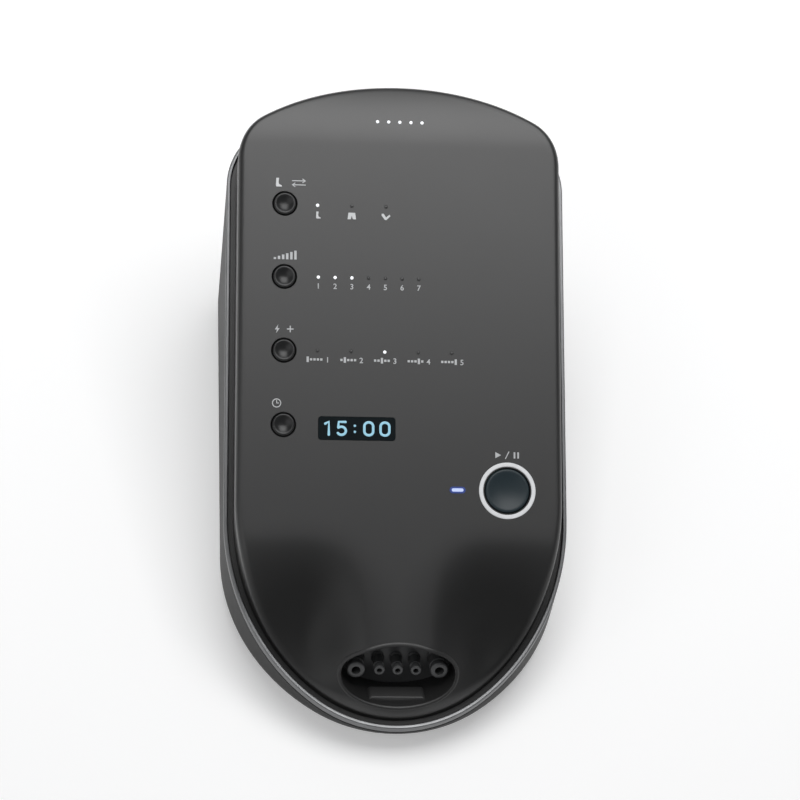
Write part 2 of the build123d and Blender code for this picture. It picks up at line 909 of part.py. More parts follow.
def pump_head():
    head = pump_axis() * rod_from(head_bottom(), head_bottom() + head_height, cylinder_radius + cylinder_wall)
    head = chamfer(head.edges().group_by(Axis.Z)[-1], head_height / 8)
    spigot = rod_from(-cylinder_radius / 2, spigot_length, spigot_radius)
    return head + Plane(origin=hose_route()[0], x_dir=(1, 0, 0), z_dir=(0, -1, 0)) * spigot


def intake_filter():
    puck = Rot(0, 90, 0) * rod_from(0, filter_height, filter_radius)
    return pump_axis() * Pos(cylinder_radius + cylinder_wall, 0, head_bottom() + head_height / 2) * puck


def cradle_right():
    return motor_left + motor_length - motor_cap


def pump_cradle():
    bottom = inside_bottom + mount_height
    middle = (case_left + cradle_right()) / 2
    plate = Pos(middle, pump_y, bottom + cradle_thickness / 2) * Box(
        cradle_right() - case_left, case_width, cradle_thickness
    )
    plate = fillet(plate.edges().filter_by(Axis.Z), saddle_width)
    rest_height = motor_saddle_height()
    for x in (motor_left + saddle_inset, cradle_right() - saddle_inset):
        rest = Pos(x, pump_y, bottom + cradle_thickness + rest_height / 2)
        rest *= Box(saddle_width, case_width * 0.7, rest_height)
        plate += rest - along_shaft(case_left, cradle_right(), motor_radius)
    return plate


def motor_saddle_height():
    """The saddles reach a third of the way up the motor's can."""
    return case_height / 2 - motor_radius / 3


def mount_places():
    left = case_left + mount_radius + mount_edge
    right = cradle_right() - mount_radius - mount_edge
    reach = case_width / 2 - mount_radius - mount_edge
    return [(x, pump_y + side * reach) for x in (left, right) for side in (-1, 1)]


def pump_mounts():
    mount = rod_from(inside_bottom, inside_bottom + mount_height, mount_radius)
    return group([Pos(x, y) * mount for x, y in mount_places()])


# Valves and tubes --------------------------------------------------------------------------------


def valve_places():
    count = len(nozzle_places)
    return [(i - (count - 1) / 2) * valve_pitch for i in range(count)]


def valve_manifold():
    half_length = valve_pitch * (len(nozzle_places) + 1) / 2
    block = Pos(0, manifold_y, manifold_bottom + manifold_height / 2) * Box(
        2 * half_length, manifold_width, manifold_height
    )
    block = fillet(block.edges().filter_by(Axis.Z), manifold_corner)
    front = manifold_y - manifold_width / 2
    for x in valve_places():
        spigot = Plane(origin=(x, front, manifold_bottom + outlet_up), z_dir=(0, -1, 0))
        block += spigot * rod_from(-outlet_radius, outlet_length, outlet_radius)
    block += Plane(origin=hose_route()[-1], z_dir=(0, 0, 1)) * rod_from(
        -manifold_height / 2, spigot_length, spigot_radius
    )
    for side in (-1, 1):
        leg = rod_from(inside_bottom, manifold_bottom, manifold_width / 3)
        block += Pos(side * valve_pitch * 2, manifold_y) * leg
    return block


def zone_valves():
    top = manifold_bottom + manifold_height
    valve = Box(valve_size, valve_size, valve_height, align=(Align.CENTER, Align.CENTER, Align.MIN))
    valve = chamfer(valve.edges().group_by(Axis.Z)[-1], valve_edge)
    return group([Pos(x, manifold_y, top) * valve for x in valve_places()])


def vent_valve():
    """Round valve that lets the hoses down, on the manifold's free end."""
    low = manifold_bottom + manifold_height
    can = rod_from(low, low + vent_valve_height, vent_valve_radius)
    return Pos(inlet_across, manifold_y) * chamfer(can.edges().group_by(Axis.Z)[-1], valve_edge)


def hose_route():
    """Compressor's outlet over the battery to the manifold's inlet."""
    start = Vector(
        case_left + case_length / 2,
        pump_y - cylinder_radius - cylinder_wall,
        head_bottom() + head_height / 2,
    )
    end = Vector(-inlet_across, manifold_y, manifold_bottom + manifold_height)
    front_cell_y = cell_places()[0][0]
    over = Vector((start.X + end.X) / 2, front_cell_y, (cells_top + board_under(front_cell_y)) / 2)
    return [start, over, end + Vector(0, 0, hose_rise), end]


def bent_tube(points, outer, bores):
    """Tube on straight runs and arcs as large as the runs allow, bored out at its ends."""
    radii = []
    for before, at, after in zip(points, points[1:], points[2:]):
        run = min((at - before).length, (after - at).length)
        turn = (at - before).get_angle(after - at)
        radii.append(0.45 * run / tan(radians(turn) / 2))
    path = FilletPolyline(*points, radius=radii)
    tube = sweep(Plane(origin=points[0], z_dir=path % 0) * Circle(outer), path=path)
    for cutter in bores:
        tube -= cutter
    return tube


def air_tubes():
    tubes = []
    place = port_place()
    for x, outlet_x in zip(nozzle_places, valve_places()):
        start = (place * Pos(x, 0, -port_depth - nozzle_plate)).position
        away = place.z_dir * -1
        end = Vector(outlet_x, manifold_y - manifold_width / 2, manifold_bottom + outlet_up)
        before_end = end + Vector(0, -outlet_length - tube_lead, 0)
        points = [start, start + away * (barb_length + tube_lead), before_end, end]
        barb = rod_from(-port_depth - nozzle_plate - barb_length, -port_depth, barb_radius)
        barb = place * Pos(x, 0) * barb
        spigot = Plane(origin=end, z_dir=(0, -1, 0)) * rod_from(0, outlet_length, outlet_radius)
        tubes.append(bent_tube(points, tube_radius, [barb, spigot]))
    return group(tubes)


def supply_tube():
    points = hose_route()
    outlet = Plane(origin=points[0], z_dir=(0, -1, 0)) * rod_from(0, spigot_length, spigot_radius)
    inlet = Plane(origin=points[-1], z_dir=(0, 0, 1)) * rod_from(0, spigot_length, spigot_radius)
    points = [points[0], points[0] + Vector(0, -spigot_length - tube_lead, 0)] + points[1:]
    return bent_tube(points, hose_radius, [outlet, inlet])


# Parts --------------------------------------------------------------------------------------------

sub_parts = {
    "face_cover": face_cover,
    "base_shell": base_shell,
    "trim_ring": trim_ring,
    "rubber_feet": rubber_feet,
    "case_screws": case_screws,
    "port_socket": port_socket,
    "port_nozzles": port_nozzles,
    "start_button": start_button,
    "start_ring": start_ring,
    "display_lens": display_lens,
    "status_window": status_window,
    "control_board": control_board,
    "board_screws": board_screws,
    "key_switches": key_switches,
    "indicator_leds": indicator_leds,
    "display_module": display_module,
    "board_headers": board_headers,
    "pressure_sensors": pressure_sensors,
    "power_jack": power_jack,
    "power_button": power_button,
    "power_switch": power_switch,
    "power_board": power_board,
    "battery_cells": battery_cells,
    "battery_tray": battery_tray,
    "battery_straps": battery_straps,
    "pump_motor": pump_motor,
    "pump_crankshaft": pump_crankshaft,
    "pump_crankcase": pump_crankcase,
    "pump_piston": pump_piston,
    "pump_head": pump_head,
    "pump_cradle": pump_cradle,
    "pump_mounts": pump_mounts,
    "intake_filter": intake_filter,
    "valve_manifold": valve_manifold,
    "zone_valves": zone_valves,
    "vent_valve": vent_valve,
    "air_tubes": air_tubes,
    "supply_tube": supply_tube,
}
for name, row in window_rows.items():
    sub_parts[name] = lambda row=row: windows(row)
for name in key_names:
    sub_parts[name] = lambda name=name: mode_button(name)

os.makedirs("parts", exist_ok=True)
for name, make in sub_parts.items():
    export_step(make(), f"parts/{name}.step")
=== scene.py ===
# %% [markdown]
# # A compression therapy pump, dressed around its working model
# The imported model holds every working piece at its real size. This lesson gives the outside a finer
# skin, gives every piece a finish of its own, and lights it. The lengths are in metres; millimetres
# are written with the helpers mm() and in_mm().

# %% Load the fixed frame
import bpy
import bmesh
import json
import math
import numpy as np
from itertools import groupby
from mathutils import Matrix, Vector


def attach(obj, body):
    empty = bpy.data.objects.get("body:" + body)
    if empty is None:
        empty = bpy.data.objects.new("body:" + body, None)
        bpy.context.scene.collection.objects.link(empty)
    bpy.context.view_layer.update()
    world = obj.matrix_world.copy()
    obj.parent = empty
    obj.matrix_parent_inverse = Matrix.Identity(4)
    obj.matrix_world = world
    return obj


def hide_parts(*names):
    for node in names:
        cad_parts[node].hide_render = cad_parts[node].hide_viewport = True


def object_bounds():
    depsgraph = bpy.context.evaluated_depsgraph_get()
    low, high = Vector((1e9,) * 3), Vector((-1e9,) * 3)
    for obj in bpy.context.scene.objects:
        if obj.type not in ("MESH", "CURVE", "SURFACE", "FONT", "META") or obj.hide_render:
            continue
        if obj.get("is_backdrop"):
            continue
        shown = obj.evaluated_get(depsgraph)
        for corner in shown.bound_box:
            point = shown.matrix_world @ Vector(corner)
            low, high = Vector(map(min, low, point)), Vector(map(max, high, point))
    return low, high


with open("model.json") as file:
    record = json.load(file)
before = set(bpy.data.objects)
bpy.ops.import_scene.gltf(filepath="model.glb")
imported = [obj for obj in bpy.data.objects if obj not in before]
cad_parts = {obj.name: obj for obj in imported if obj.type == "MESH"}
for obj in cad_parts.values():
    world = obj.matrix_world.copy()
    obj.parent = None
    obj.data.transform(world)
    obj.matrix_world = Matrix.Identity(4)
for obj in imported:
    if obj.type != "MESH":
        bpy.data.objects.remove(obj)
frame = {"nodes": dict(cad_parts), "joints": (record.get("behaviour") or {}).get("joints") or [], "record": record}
cad_low, cad_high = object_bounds()
print("CAD box", cad_low, cad_high)


def mm(value):
    """Millimetres to metres."""
    return value / 1000


def in_mm(points):
    """Points given in millimetres, in metres."""
    return [tuple(mm(value) for value in point) for point in points]


# %% [markdown]
# ## Driving sizes
# The cover, the scoop and the port follow a few sizes, so that every piece is worked out from the
# same numbers as the working model. The direction in which the keys travel gives the tilt of the
# face, so it is read from the model's own joints and not typed again.

# %% Sizes of the case
HALF_WIDTH = (cad_high.x - cad_low.x) / 2
HALF_LENGTH, HEIGHT = mm(106.5), mm(109)
REAR_REACH, REAR_NOSE = mm(32), mm(100)
TOE_REACH, TOE_NOSE = mm(69), mm(52)
RIM_TOE, RIM_REAR = mm(13), mm(98)
RING_WIDTH, RING_HEIGHT = mm(1.5), mm(3)
COVER_INSET, COVER_WALL = mm(3.4), mm(2.2)
FLANGE, EDGE_RADIUS = mm(1.2), mm(2.4)
TOE_HEIGHT, CREST_RADIUS = mm(25), mm(60)

# %% The tilted face, from the way the start button travels
joints = {joint["name"]: joint for joint in frame["joints"]}
FACE_NORMAL = -Vector(joints["start_press"]["axis"]).normalized()
FACE_ANGLE = math.atan2(-FACE_NORMAL.y, FACE_NORMAL.z)
ACROSS = Vector((1, 0, 0))
UP_SLOPE = Vector((0, math.cos(FACE_ANGLE), math.sin(FACE_ANGLE)))
CREST = Vector((0, HALF_LENGTH - COVER_INSET, HEIGHT - CREST_RADIUS))
toe_corner = Vector((0, -HALF_LENGTH, TOE_HEIGHT))
top_corner = Vector((0, HALF_LENGTH - COVER_INSET, HEIGHT))
FACE_ORIGIN = top_corner - FACE_NORMAL * (top_corner - toe_corner).dot(FACE_NORMAL)
TOE_DOWN = (FACE_ORIGIN - toe_corner).length
print("tilt of the face", round(math.degrees(FACE_ANGLE), 2), "degrees, length", round(TOE_DOWN, 4))


def with_axes(origin, x, y, z):
    """Place with the given origin and axes."""
    return Matrix.Translation(origin) @ Matrix((x, y, z)).transposed().to_4x4()


def face_matrix(x=0.0, down=0.0, depth=0.0):
    """Place on the face: across, down from its top edge and in below its surface."""
    face = with_axes(FACE_ORIGIN, ACROSS, UP_SLOPE, FACE_NORMAL)
    return face @ Matrix.Translation((x, -down, -depth))


# %% Sizes of the scoop and the port, placed from the tip of the toe
SCOOP_DEPTH, SCOOP_BLEND = mm(9.4), mm(0.25)
SCOOP_START, SCOOP_END = TOE_DOWN - mm(67.8), TOE_DOWN - mm(15.8)
HOOD_TOP, HOOD_SIDE = mm(8), mm(34)
HOOD_END, HOOD_FOOT = TOE_DOWN - mm(22.8), TOE_DOWN + mm(1.2)
PORT_DOWN, PORT_TILT = TOE_DOWN - mm(12.3), math.radians(30)
PORT_HALF, PORT_DEPTH = (mm(20), mm(10.5)), mm(14)
SOCKET_WALL, SLEEVE_POINTS = mm(1.4), 160


# %% [markdown]
# ## The plan outline
# Seen from above the unit has straight sides, a flat round rear end and a nearly semicircular toe.
# Each end is two arcs that meet without a kink. An outline drawn in by some distance keeps the
# arcs' centres and shortens their radii, so its points stay opposite those of the first outline.

# %% Outline points
TOE_STEPS, SIDE_STEPS, REAR_STEPS = (40, 36), 56, (22, 34)


def end_arcs(reach, nose, towards):
    """Radius and centre of the corner arc, centre of the nose arc and the angle where they meet."""
    corner = (HALF_WIDTH**2 + (nose - reach) ** 2 - nose**2) / (2 * (HALF_WIDTH - nose))
    corner_centre = np.array([HALF_WIDTH - corner, towards * (HALF_LENGTH - reach)])
    nose_centre = np.array([0, towards * (HALF_LENGTH - nose)])
    along = (corner_centre - nose_centre) * (1 if nose > corner else -1)
    return corner, corner_centre, nose_centre, math.atan2(along[1], along[0])


def arc_points(centre, radius, start, end, count):
    """Points on an arc, without its last one."""
    turn = np.linspace(start, end, count, endpoint=False)
    return centre + radius * np.stack([np.cos(turn), np.sin(turn)], 1)


def outline(inset):
    """Closed outline, anticlockwise from the toe's tip, with as many points for every inset."""
    corner, centre, nose_centre, meet = end_arcs(TOE_REACH, TOE_NOSE, -1)
    half = [
        arc_points(nose_centre, TOE_NOSE - inset, -math.pi / 2, meet, TOE_STEPS[0]),
        arc_points(centre, corner - inset, meet, 0, TOE_STEPS[1]),
    ]
    toe_side = centre + [corner - inset, 0]
    corner, centre, nose_centre, meet = end_arcs(REAR_REACH, REAR_NOSE, 1)
    rear_side = centre + [corner - inset, 0]
    steps = np.linspace(0, 1, SIDE_STEPS, endpoint=False)[:, None]
    half += [
        toe_side + (rear_side - toe_side) * steps,
        arc_points(centre, corner - inset, 0, meet, REAR_STEPS[0]),
        arc_points(nose_centre, REAR_NOSE - inset, meet, math.pi / 2, REAR_STEPS[1]),
        np.array([[0, HALF_LENGTH - inset]]),
    ]
    right = np.concatenate(half)
    return np.concatenate([right, (right * [-1, 1])[-2:0:-1]])


print("outline points", len(outline(0)))


# %% [markdown]
# ## Heights of the rim and of the face
# The face is flat and rounds over at the top end. A scoop dips into it round the port, and a hood
# stays up in the middle. All of it is one formula of the place across and the place down the face.

# %% Height formulas
def rim_height(y):
    """Top of the trim ring."""
    return RIM_TOE + (y + HALF_LENGTH) * (RIM_REAR - RIM_TOE) / (2 * HALF_LENGTH)


def ease(value):
    """Smooth step from 0 to 1."""
    return (1 - np.cos(np.pi * np.clip(value, 0, 1))) / 2


def slow_ease(value):
    """Smooth step whose curvature also starts and ends at nothing, so its sheen has no edge."""
    t = np.clip(value, 0, 1)
    return t**3 * (10 - 15 * t + 6 * t**2)


def dip(x, down):
    """Depth of the scoop below the flat face."""
    fall = slow_ease((down - SCOOP_START) / (SCOOP_END - SCOOP_START))
    across = 1 - ease((np.abs(x) - HOOD_TOP) / (HOOD_SIDE - HOOD_TOP))
    along = 1 - ease((down - HOOD_END) / (HOOD_FOOT - HOOD_END))
    depth = SCOOP_DEPTH * fall * (1 - across * along) - SCOOP_BLEND
    return (depth + np.sqrt(depth**2 + SCOOP_BLEND**2)) / 2


def flat_height(y):
    """Height of the flat face's plane."""
    return FACE_ORIGIN.z + (y - FACE_ORIGIN.y) * math.tan(FACE_ANGLE)


def face_height(y):
    """Flat face and the round over at its top end, without the scoop."""
    start = CREST.y - CREST_RADIUS * math.sin(FACE_ANGLE)
    reach = np.clip((y - CREST.y) / CREST_RADIUS, -1, 1)
    return np.where(y > start, CREST.z + CREST_RADIUS * np.sqrt(1 - reach**2), flat_height(y))


def skin_height(x, y):
    """Height of the cover's surface above a place in the plan, found in a few rounds."""
    on_flat = np.array(y, float)
    for _ in range(8):
        depth = dip(x, (FACE_ORIGIN.y - on_flat) / math.cos(FACE_ANGLE))
        on_flat = y - depth * math.sin(FACE_ANGLE)
    return face_height(on_flat) - depth * math.cos(FACE_ANGLE)


print("depth of the scoop over the port", round(float(dip(0.0, PORT_DOWN)), 4))


# %% [markdown]
# ## Small mesh helpers
# Most pieces here are either rows of points joined into a skin, or a profile turned round an axis.
# Both end as plain meshes whose place is in their points, because the frame moves bodies and not
# single pieces.

# %% Objects and clean meshes
def new_object(name, data):
    """Object with the given data, in the scene."""
    thing = bpy.data.objects.new(name, data)
    bpy.context.scene.collection.objects.link(thing)
    return thing


def shade(thing, angle=35.0):
    """Smooth shading that keeps edges sharper than the angle."""
    thing.data.polygons.foreach_set("use_smooth", [True] * len(thing.data.polygons))
    thing.data.set_sharp_from_angle(angle=math.radians(angle))
    return thing


def finish_mesh(name, points, faces, angle=35.0, place=Matrix(), closed=True):
    """New object from points and faces, put in place, with doubles merged and smooth shading."""
    mesh = bpy.data.meshes.new(name)
    mesh.from_pydata([tuple(place @ Vector(point)) for point in points], [], faces)
    work = bmesh.new()
    work.from_mesh(mesh)
    bmesh.ops.remove_doubles(work, verts=work.verts, dist=1e-6)
    if closed:
        bmesh.ops.recalc_face_normals(work, faces=work.faces)
    work.to_mesh(mesh)
    work.free()
    return shade(new_object(name, mesh), angle)


def fill_poles(thing, dist=1e-7, split_below=None):
    """Merges doubles, removes faces without area and turns the rest outwards. Faces nearer the toe
    than split_below, a place along Y, are also split into triangles."""
    work = bmesh.new()
    work.from_mesh(thing.data)
    bmesh.ops.remove_doubles(work, verts=work.verts, dist=dist)
    bmesh.ops.dissolve_degenerate(work, dist=dist, edges=work.edges)
    if split_below is not None:
        front = [face for face in work.faces if face.calc_center_median().y < split_below]
        bmesh.ops.triangulate(work, faces=front)
    bmesh.ops.recalc_face_normals(work, faces=work.faces)
    work.to_mesh(thing.data)
    work.free()


# %% Skins and turned profiles
def skin(rows, cap_first=False, cap_last=False):
    """Points and quads that join closed rings of equal length."""
    points = np.concatenate([np.asarray(row, float) for row in rows])
    count = len(rows[0])
    last = len(points) - count
    faces = []
    for low in range(0, last, count):
        for i in range(count):
            j = (i + 1) % count
            faces.append((low + i, low + j, low + count + j, low + count + i))
    if cap_first:
        faces.append(tuple(range(count))[::-1])
    if cap_last:
        faces.append(tuple(range(last, last + count)))
    return points, faces


def rings(profile, sides, stretch=(1.0, 1.0)):
    """Rings of points round the local Z axis, from a profile of (radius, height) pairs."""
    turn = np.linspace(0, 2 * np.pi, sides, endpoint=False)
    ring = np.stack([np.cos(turn) * stretch[0], np.sin(turn) * stretch[1], np.zeros(sides)], 1)
    return [ring * radius + [0, 0, up] for radius, up in profile]


def turned(name, profile, place, sides=96, stretch=(1.0, 1.0)):
    """Profile turned round the local Z axis, and closed where it ends on the axis."""
    thing = finish_mesh(name, *skin(rings(profile, sides, stretch)), place=place)
    fill_poles(thing)
    return shade(thing)


# %% From a piece with modifiers to a dressed piece
def modify(thing, kind, **settings):
    """Adds a modifier with its settings."""
    modifier = thing.modifiers.new(kind.lower(), kind)
    for key, value in settings.items():
        setattr(modifier, key, value)
    return modifier


def plain_copy(thing):
    """Applies an object's modifiers: a plain mesh object takes its place and its name."""
    name = thing.name
    graph = bpy.context.evaluated_depsgraph_get()
    mesh = bpy.data.meshes.new_from_object(thing.evaluated_get(graph))
    bpy.data.objects.remove(thing)
    return new_object(name, mesh)


def join(things, name):
    """One object from several, under a new name."""
    if len(things) > 1:
        with bpy.context.temp_override(active_object=things[0], selected_editable_objects=things):
            bpy.ops.object.join()
    things[0].name = name
    return things[0]


def dress(thing, finish, slot, *nodes, body="housing"):
    """Gives a piece its finish and the body it rides on, and hides the nodes it stands for. The slot is not used.
    """
    thing.data.materials.clear()
    thing.data.materials.append(finish.material)
    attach(thing, body)
    if nodes:
        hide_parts(*nodes)
    print(thing.name, "has", len(thing.data.polygons), "faces and rides on", body)


# %% [markdown]
# ## Shader maths as plain Python
# A finish is easier to read as a formula than as a chain of nodes. The class below wraps one socket
# of a shader tree, and an expression such as 1 - mask * 0.5 adds the Math nodes that work it out.

# %% Nodes of any tree
def feed(tree, socket, value):
    """Links a socket to a field or to another socket, or gives it a value."""
    if isinstance(value, Field):
        value = value.socket
    if isinstance(value, bpy.types.NodeSocket):
        tree.links.new(value, socket)
    else:
        socket.default_value = value


def add_node(tree, kind, settings, inputs):
    """New node: its settings first, then the values or links of its sockets."""
    made = tree.nodes.new(kind)
    for key, value in settings.items():
        setattr(made, key, value)
    for key, value in inputs.items():
        feed(tree, made.inputs[key], value)
    return made


# %% A value of the shader
class Field:
    """A number that changes over a surface."""

    def __init__(self, finish, socket):
        self.finish, self.socket = finish, socket

    def math(self, operation, *values):
        return self.finish.node("ShaderNodeMath", dict(enumerate(values)), operation=operation)

    def __add__(self, other):
        return self.math("ADD", self, other)

    def __mul__(self, other):
        return self.math("MULTIPLY", self, other)

    def __sub__(self, other):
        return self.math("SUBTRACT", self, other)

    def __rsub__(self, other):
        return self.math("SUBTRACT", other, self)

    __radd__, __rmul__ = __add__, __mul__

    def between(self, low, high):
        """0 below low, 1 above high, smooth between."""
        inputs = {"Value": self, "From Min": low, "From Max": high}
        return self.finish.node("ShaderNodeMapRange", inputs, interpolation_type="SMOOTHSTEP")


# %% A material built by expressions
class Finish:
    """A material with one Principled shader."""

    def __init__(self, name, **constants):
        self.material = bpy.data.materials.new(name)
        self.material.use_nodes = True
        self.tree = self.material.node_tree
        self.shader = self.tree.nodes["Principled BSDF"]
        self.coordinates = self.tree.nodes.new("ShaderNodeTexCoord").outputs["Object"]
        for socket, value in constants.items():
            self.set(socket.replace("_", " "), value)

    def node(self, kind, inputs, output=0, **settings):
        """Any node, by its type, its inputs' values or links, and its settings."""
        return Field(self, add_node(self.tree, kind, settings, inputs).outputs[output])

    def set(self, socket, value):
        """Feeds a socket of the Principled shader."""
        feed(self.tree, self.shader.inputs[socket], value)

    def noise(self, size, detail=2.0, rough=0.5):
        """Soft noise with grains of about the given size in metres, from 0 to 1."""
        grains = {"Scale": 1 / size, "Detail": detail, "Roughness": rough}
        return self.node("ShaderNodeTexNoise", {"Vector": self.coordinates, **grains})

    def streaks(self, stretch):
        """Noise with the given number of grains per metre along each axis."""
        inputs = {"Vector": self.coordinates, "Scale": stretch}
        mapped = self.node("ShaderNodeMapping", inputs, vector_type="POINT")
        return self.node("ShaderNodeTexNoise", {"Vector": mapped, "Scale": 1.0, "Detail": 2.0})

    def mix(self, factor, first, second):
        """Blend of two colours."""
        inputs = {0: factor, 6: first, 7: second}
        return self.node("ShaderNodeMix", inputs, output=2, data_type="RGBA")

    def surface(self, tone, dark, light, roughness, relief, height=None):
        """Colour between two tones, sheen, and small relief that follows the height or the tone."""
        self.set("Base Color", self.mix(tone, dark, light))
        self.set("Roughness", roughness)
        inputs = {"Height": height or tone, "Distance": relief, "Strength": 1.0}
        self.set("Normal", self.node("ShaderNodeBump", inputs))
        return self


def scaled(colour, by):
    """The same colour, darker or lighter."""
    return tuple(channel * by for channel in colour[:3]) + (1.0,)


def grey(level, tint=(1.0, 1.0, 1.0)):
    """Grey of a level, with a slight tint or none."""
    return scaled(tint, level)


# %% [markdown]
# ## Finishes
# The case is moulded plastic with a fine spark-eroded texture. A real mould face gives two things:
# grains of about a quarter of a millimetre, and faint broad patches where the sheen changes, which
# is what keeps a large dark face from looking like a flat colour.

# %% Moulded plastic
def moulded(name, colour, roughness, grain=mm(0.28), relief=mm(0.01), shine=0.5):
    """Moulded plastic: fine grain in relief, broad soft patches in colour and sheen."""
    finish = Finish(name, Specular_IOR_Level=shine)
    grains = finish.noise(grain, 1.0)
    patches = finish.noise(mm(35), 3.0, 0.55)
    tone = grains * 0.6 + patches * 0.4
    sheen = roughness + (patches - 0.5) * 0.10 + (grains - 0.5) * 0.06
    return finish.surface(tone, scaled(colour, 0.84), scaled(colour, 1.22), sheen, relief, grains)


COVER = moulded("cover_satin_black", grey(0.01), 0.4, shine=0.3)
BASE = moulded("base_textured_black", grey(0.018), 0.55, mm(0.4), mm(0.02), 0.35)
KEY = moulded("key_satin", grey(0.009, (0.97, 1.0, 1.04)), 0.32, mm(0.2), mm(0.004), 0.4)
START_CAP = moulded("start_cap_blue_grey", (0.017, 0.028, 0.034), 0.38, mm(0.2), mm(0.004), 0.3)
SOCKET = moulded("port_sleeve_plastic", grey(0.014), 0.42, mm(0.3), mm(0.006))
TONGUE_GREY = moulded("tongue_grey", grey(0.035), 0.4, mm(0.3), mm(0.006))
NOZZLE = moulded("nozzle_grey", grey(0.06, (0.98, 1.0, 1.02)), 0.35, mm(0.4), mm(0.004))
COMPONENT = moulded("component_black", grey(0.035), 0.45, mm(0.5))
TRAY = moulded("tray_black", grey(0.06), 0.5, mm(0.6), mm(0.02))
HEADER = moulded("header_nylon", (0.7, 0.66, 0.55), 0.45, mm(0.5))


# %% [markdown]
# The cover also has a satin varnish, which is what carries the long soft gradient down its face.
# The two hollows beside the hood are left without it, so they stay deep. A varnish is the shader's
# coat, and its weight may change over the surface: here it fades towards a point in each hollow, by
# the distance from that point in the piece's own coordinates.

# %% Varnish on the cover
HOLLOW_FADE = (mm(10), mm(38))
HOLLOWS = [face_matrix(x, TOE_DOWN - mm(32), mm(6)).translation for x in (-HOOD_SIDE, HOOD_SIDE)]


def varnish(finish, weight, roughness, hollows):
    """Adds a coat that fades out round each of the given points."""
    finish.set("Coat Roughness", roughness)
    for point in hollows:
        inputs = {0: finish.coordinates, 1: point}
        away = finish.node("ShaderNodeVectorMath", inputs, output=1, operation="DISTANCE")
        weight = away.between(*HOLLOW_FADE) * weight
    finish.set("Coat Weight", weight)


varnish(COVER, weight=0.8, roughness=0.4, hollows=HOLLOWS)


# %% [markdown]
# Metal comes next. The trim ring is satin aluminium, so it is metallic with a roughness that varies
# along faint brushing. The inner metal is rolled or die cast.

# %% Metals
def brushed(name, colour, roughness, stretch=(40.0, 40.0, 4000.0)):
    """Metal with fine scratches that run in the plane of the two low stretches."""
    finish = Finish(name, Metallic=1.0)
    lines = finish.streaks(stretch)
    cloud, sheen = finish.noise(mm(12)), roughness + (lines - 0.5) * 0.18
    return finish.surface(cloud, scaled(colour, 0.8), colour, sheen, mm(0.004), lines)


def cast(name, colour, roughness):
    """Die-cast metal: a slightly pebbled skin."""
    finish = Finish(name, Metallic=1.0)
    pebbles = finish.noise(mm(1.2), 3.0, 0.6)
    sheen = roughness + (pebbles - 0.5) * 0.2
    return finish.surface(pebbles, scaled(colour, 0.7), colour, sheen, mm(0.06))


TRIM = brushed("trim_satin_aluminium", grey(0.2, (0.99, 1.0, 1.02)), 0.38)
STEEL = brushed("plated_steel", grey(0.55), 0.3, (900.0, 900.0, 900.0))
CAST = cast("die_cast", grey(0.45), 0.45)


# %% [markdown]
# Soft and clear things. Rubber is very rough with a slight bloom. The display window is dark smoked
# plastic with a faint gloss. Light pipes and the ring round the start button are white diffusers,
# and those that are lit glow.

# %% Rubber, lens and lights
def rubber(name, colour, roughness=0.75):
    """Rubber with a pale bloom in patches."""
    finish = Finish(name, Specular_IOR_Level=0.35)
    bloom = finish.noise(mm(4), 4.0, 0.6)
    sheen = roughness + (bloom - 0.5) * 0.2
    pores = finish.noise(mm(0.6))
    tone = bloom.between(0.45, 0.8)
    return finish.surface(tone, colour, scaled(colour, 1.6), sheen, mm(0.03), pores)


def glossy(name, colour, roughness, shine=0.5, coat=0.6):
    """Polished plastic with the faint waviness of a moulded window."""
    finish = Finish(name, Specular_IOR_Level=shine, Coat_Weight=coat, Coat_Roughness=0.03)
    waves = finish.noise(mm(6), 1.0)
    sheen = roughness + waves * 0.05
    return finish.surface(waves, scaled(colour, 0.85), colour, sheen, mm(0.01))


def glowing(name, colour, strength, body):
    """Diffuser with a light behind it, a little uneven as such windows are."""
    finish = Finish(name, Roughness=0.35, Emission_Strength=strength)
    uneven = finish.noise(mm(1.5), 1.0)
    finish.set("Emission Color", finish.mix(uneven, scaled(colour, 0.82), scaled(colour, 1)))
    finish.set("Base Color", finish.mix(uneven, scaled(body, 0.9), scaled(body, 1)))
    return finish


RUBBER = rubber("foot_rubber", grey(0.025))
TUBE = rubber("air_tube_silicone", grey(0.5), 0.4)
LENS = glossy("smoked_window", grey(0.008, (0.5, 1.0, 1.25)), 0.16, 0.2, 0.05)
UNLIT = glossy("light_pipe_unlit", grey(0.03), 0.35, coat=0.1)
PRINT = glossy("print_light_grey", grey(0.58, (0.98, 1.0, 1.02)), 0.45)
WHITE_LIGHT = glowing("lit_white", (0.9, 0.95, 1.0), 0.7, (0.8, 0.8, 0.8))
RING_LIGHT = glowing("lit_ring", (0.93, 0.96, 1.0), 0.35, (0.45, 0.45, 0.45))
DIGIT_LIGHT = glowing("lit_digits", (0.36, 0.7, 0.88), 0.68, (0.1, 0.2, 0.25))
BLUE_LIGHT = glowing("lit_blue", (0.02, 0.06, 0.34), 0.5, (0.015, 0.03, 0.12))
BLUE_CORE = glowing("lit_blue_core", (0.46, 0.58, 1.0), 0.85, (0.3, 0.3, 0.3))


# %% [markdown]
# The boards have green resist over copper tracks, the battery cells wear a coloured sleeve, and the
# intake has a felt pad. They hide inside the case, but are finished too, for anyone who opens it.

# %% Inner finishes
def board(name):
    """Green resist with darker tracks in a fine grid."""
    finish = Finish(name, Coat_Weight=0.4, Coat_Roughness=0.15)
    inputs = {"Vector": finish.coordinates, "Scale": 260.0}
    cells = finish.node("ShaderNodeTexVoronoi", inputs, feature="DISTANCE_TO_EDGE")
    tracks = 1 - cells.between(0.02, 0.05)
    dark, light = (0.012, 0.09, 0.04, 1.0), (0.03, 0.17, 0.08, 1.0)
    return finish.surface(tracks, dark, light, 0.4 - tracks * 0.1, mm(0.03))


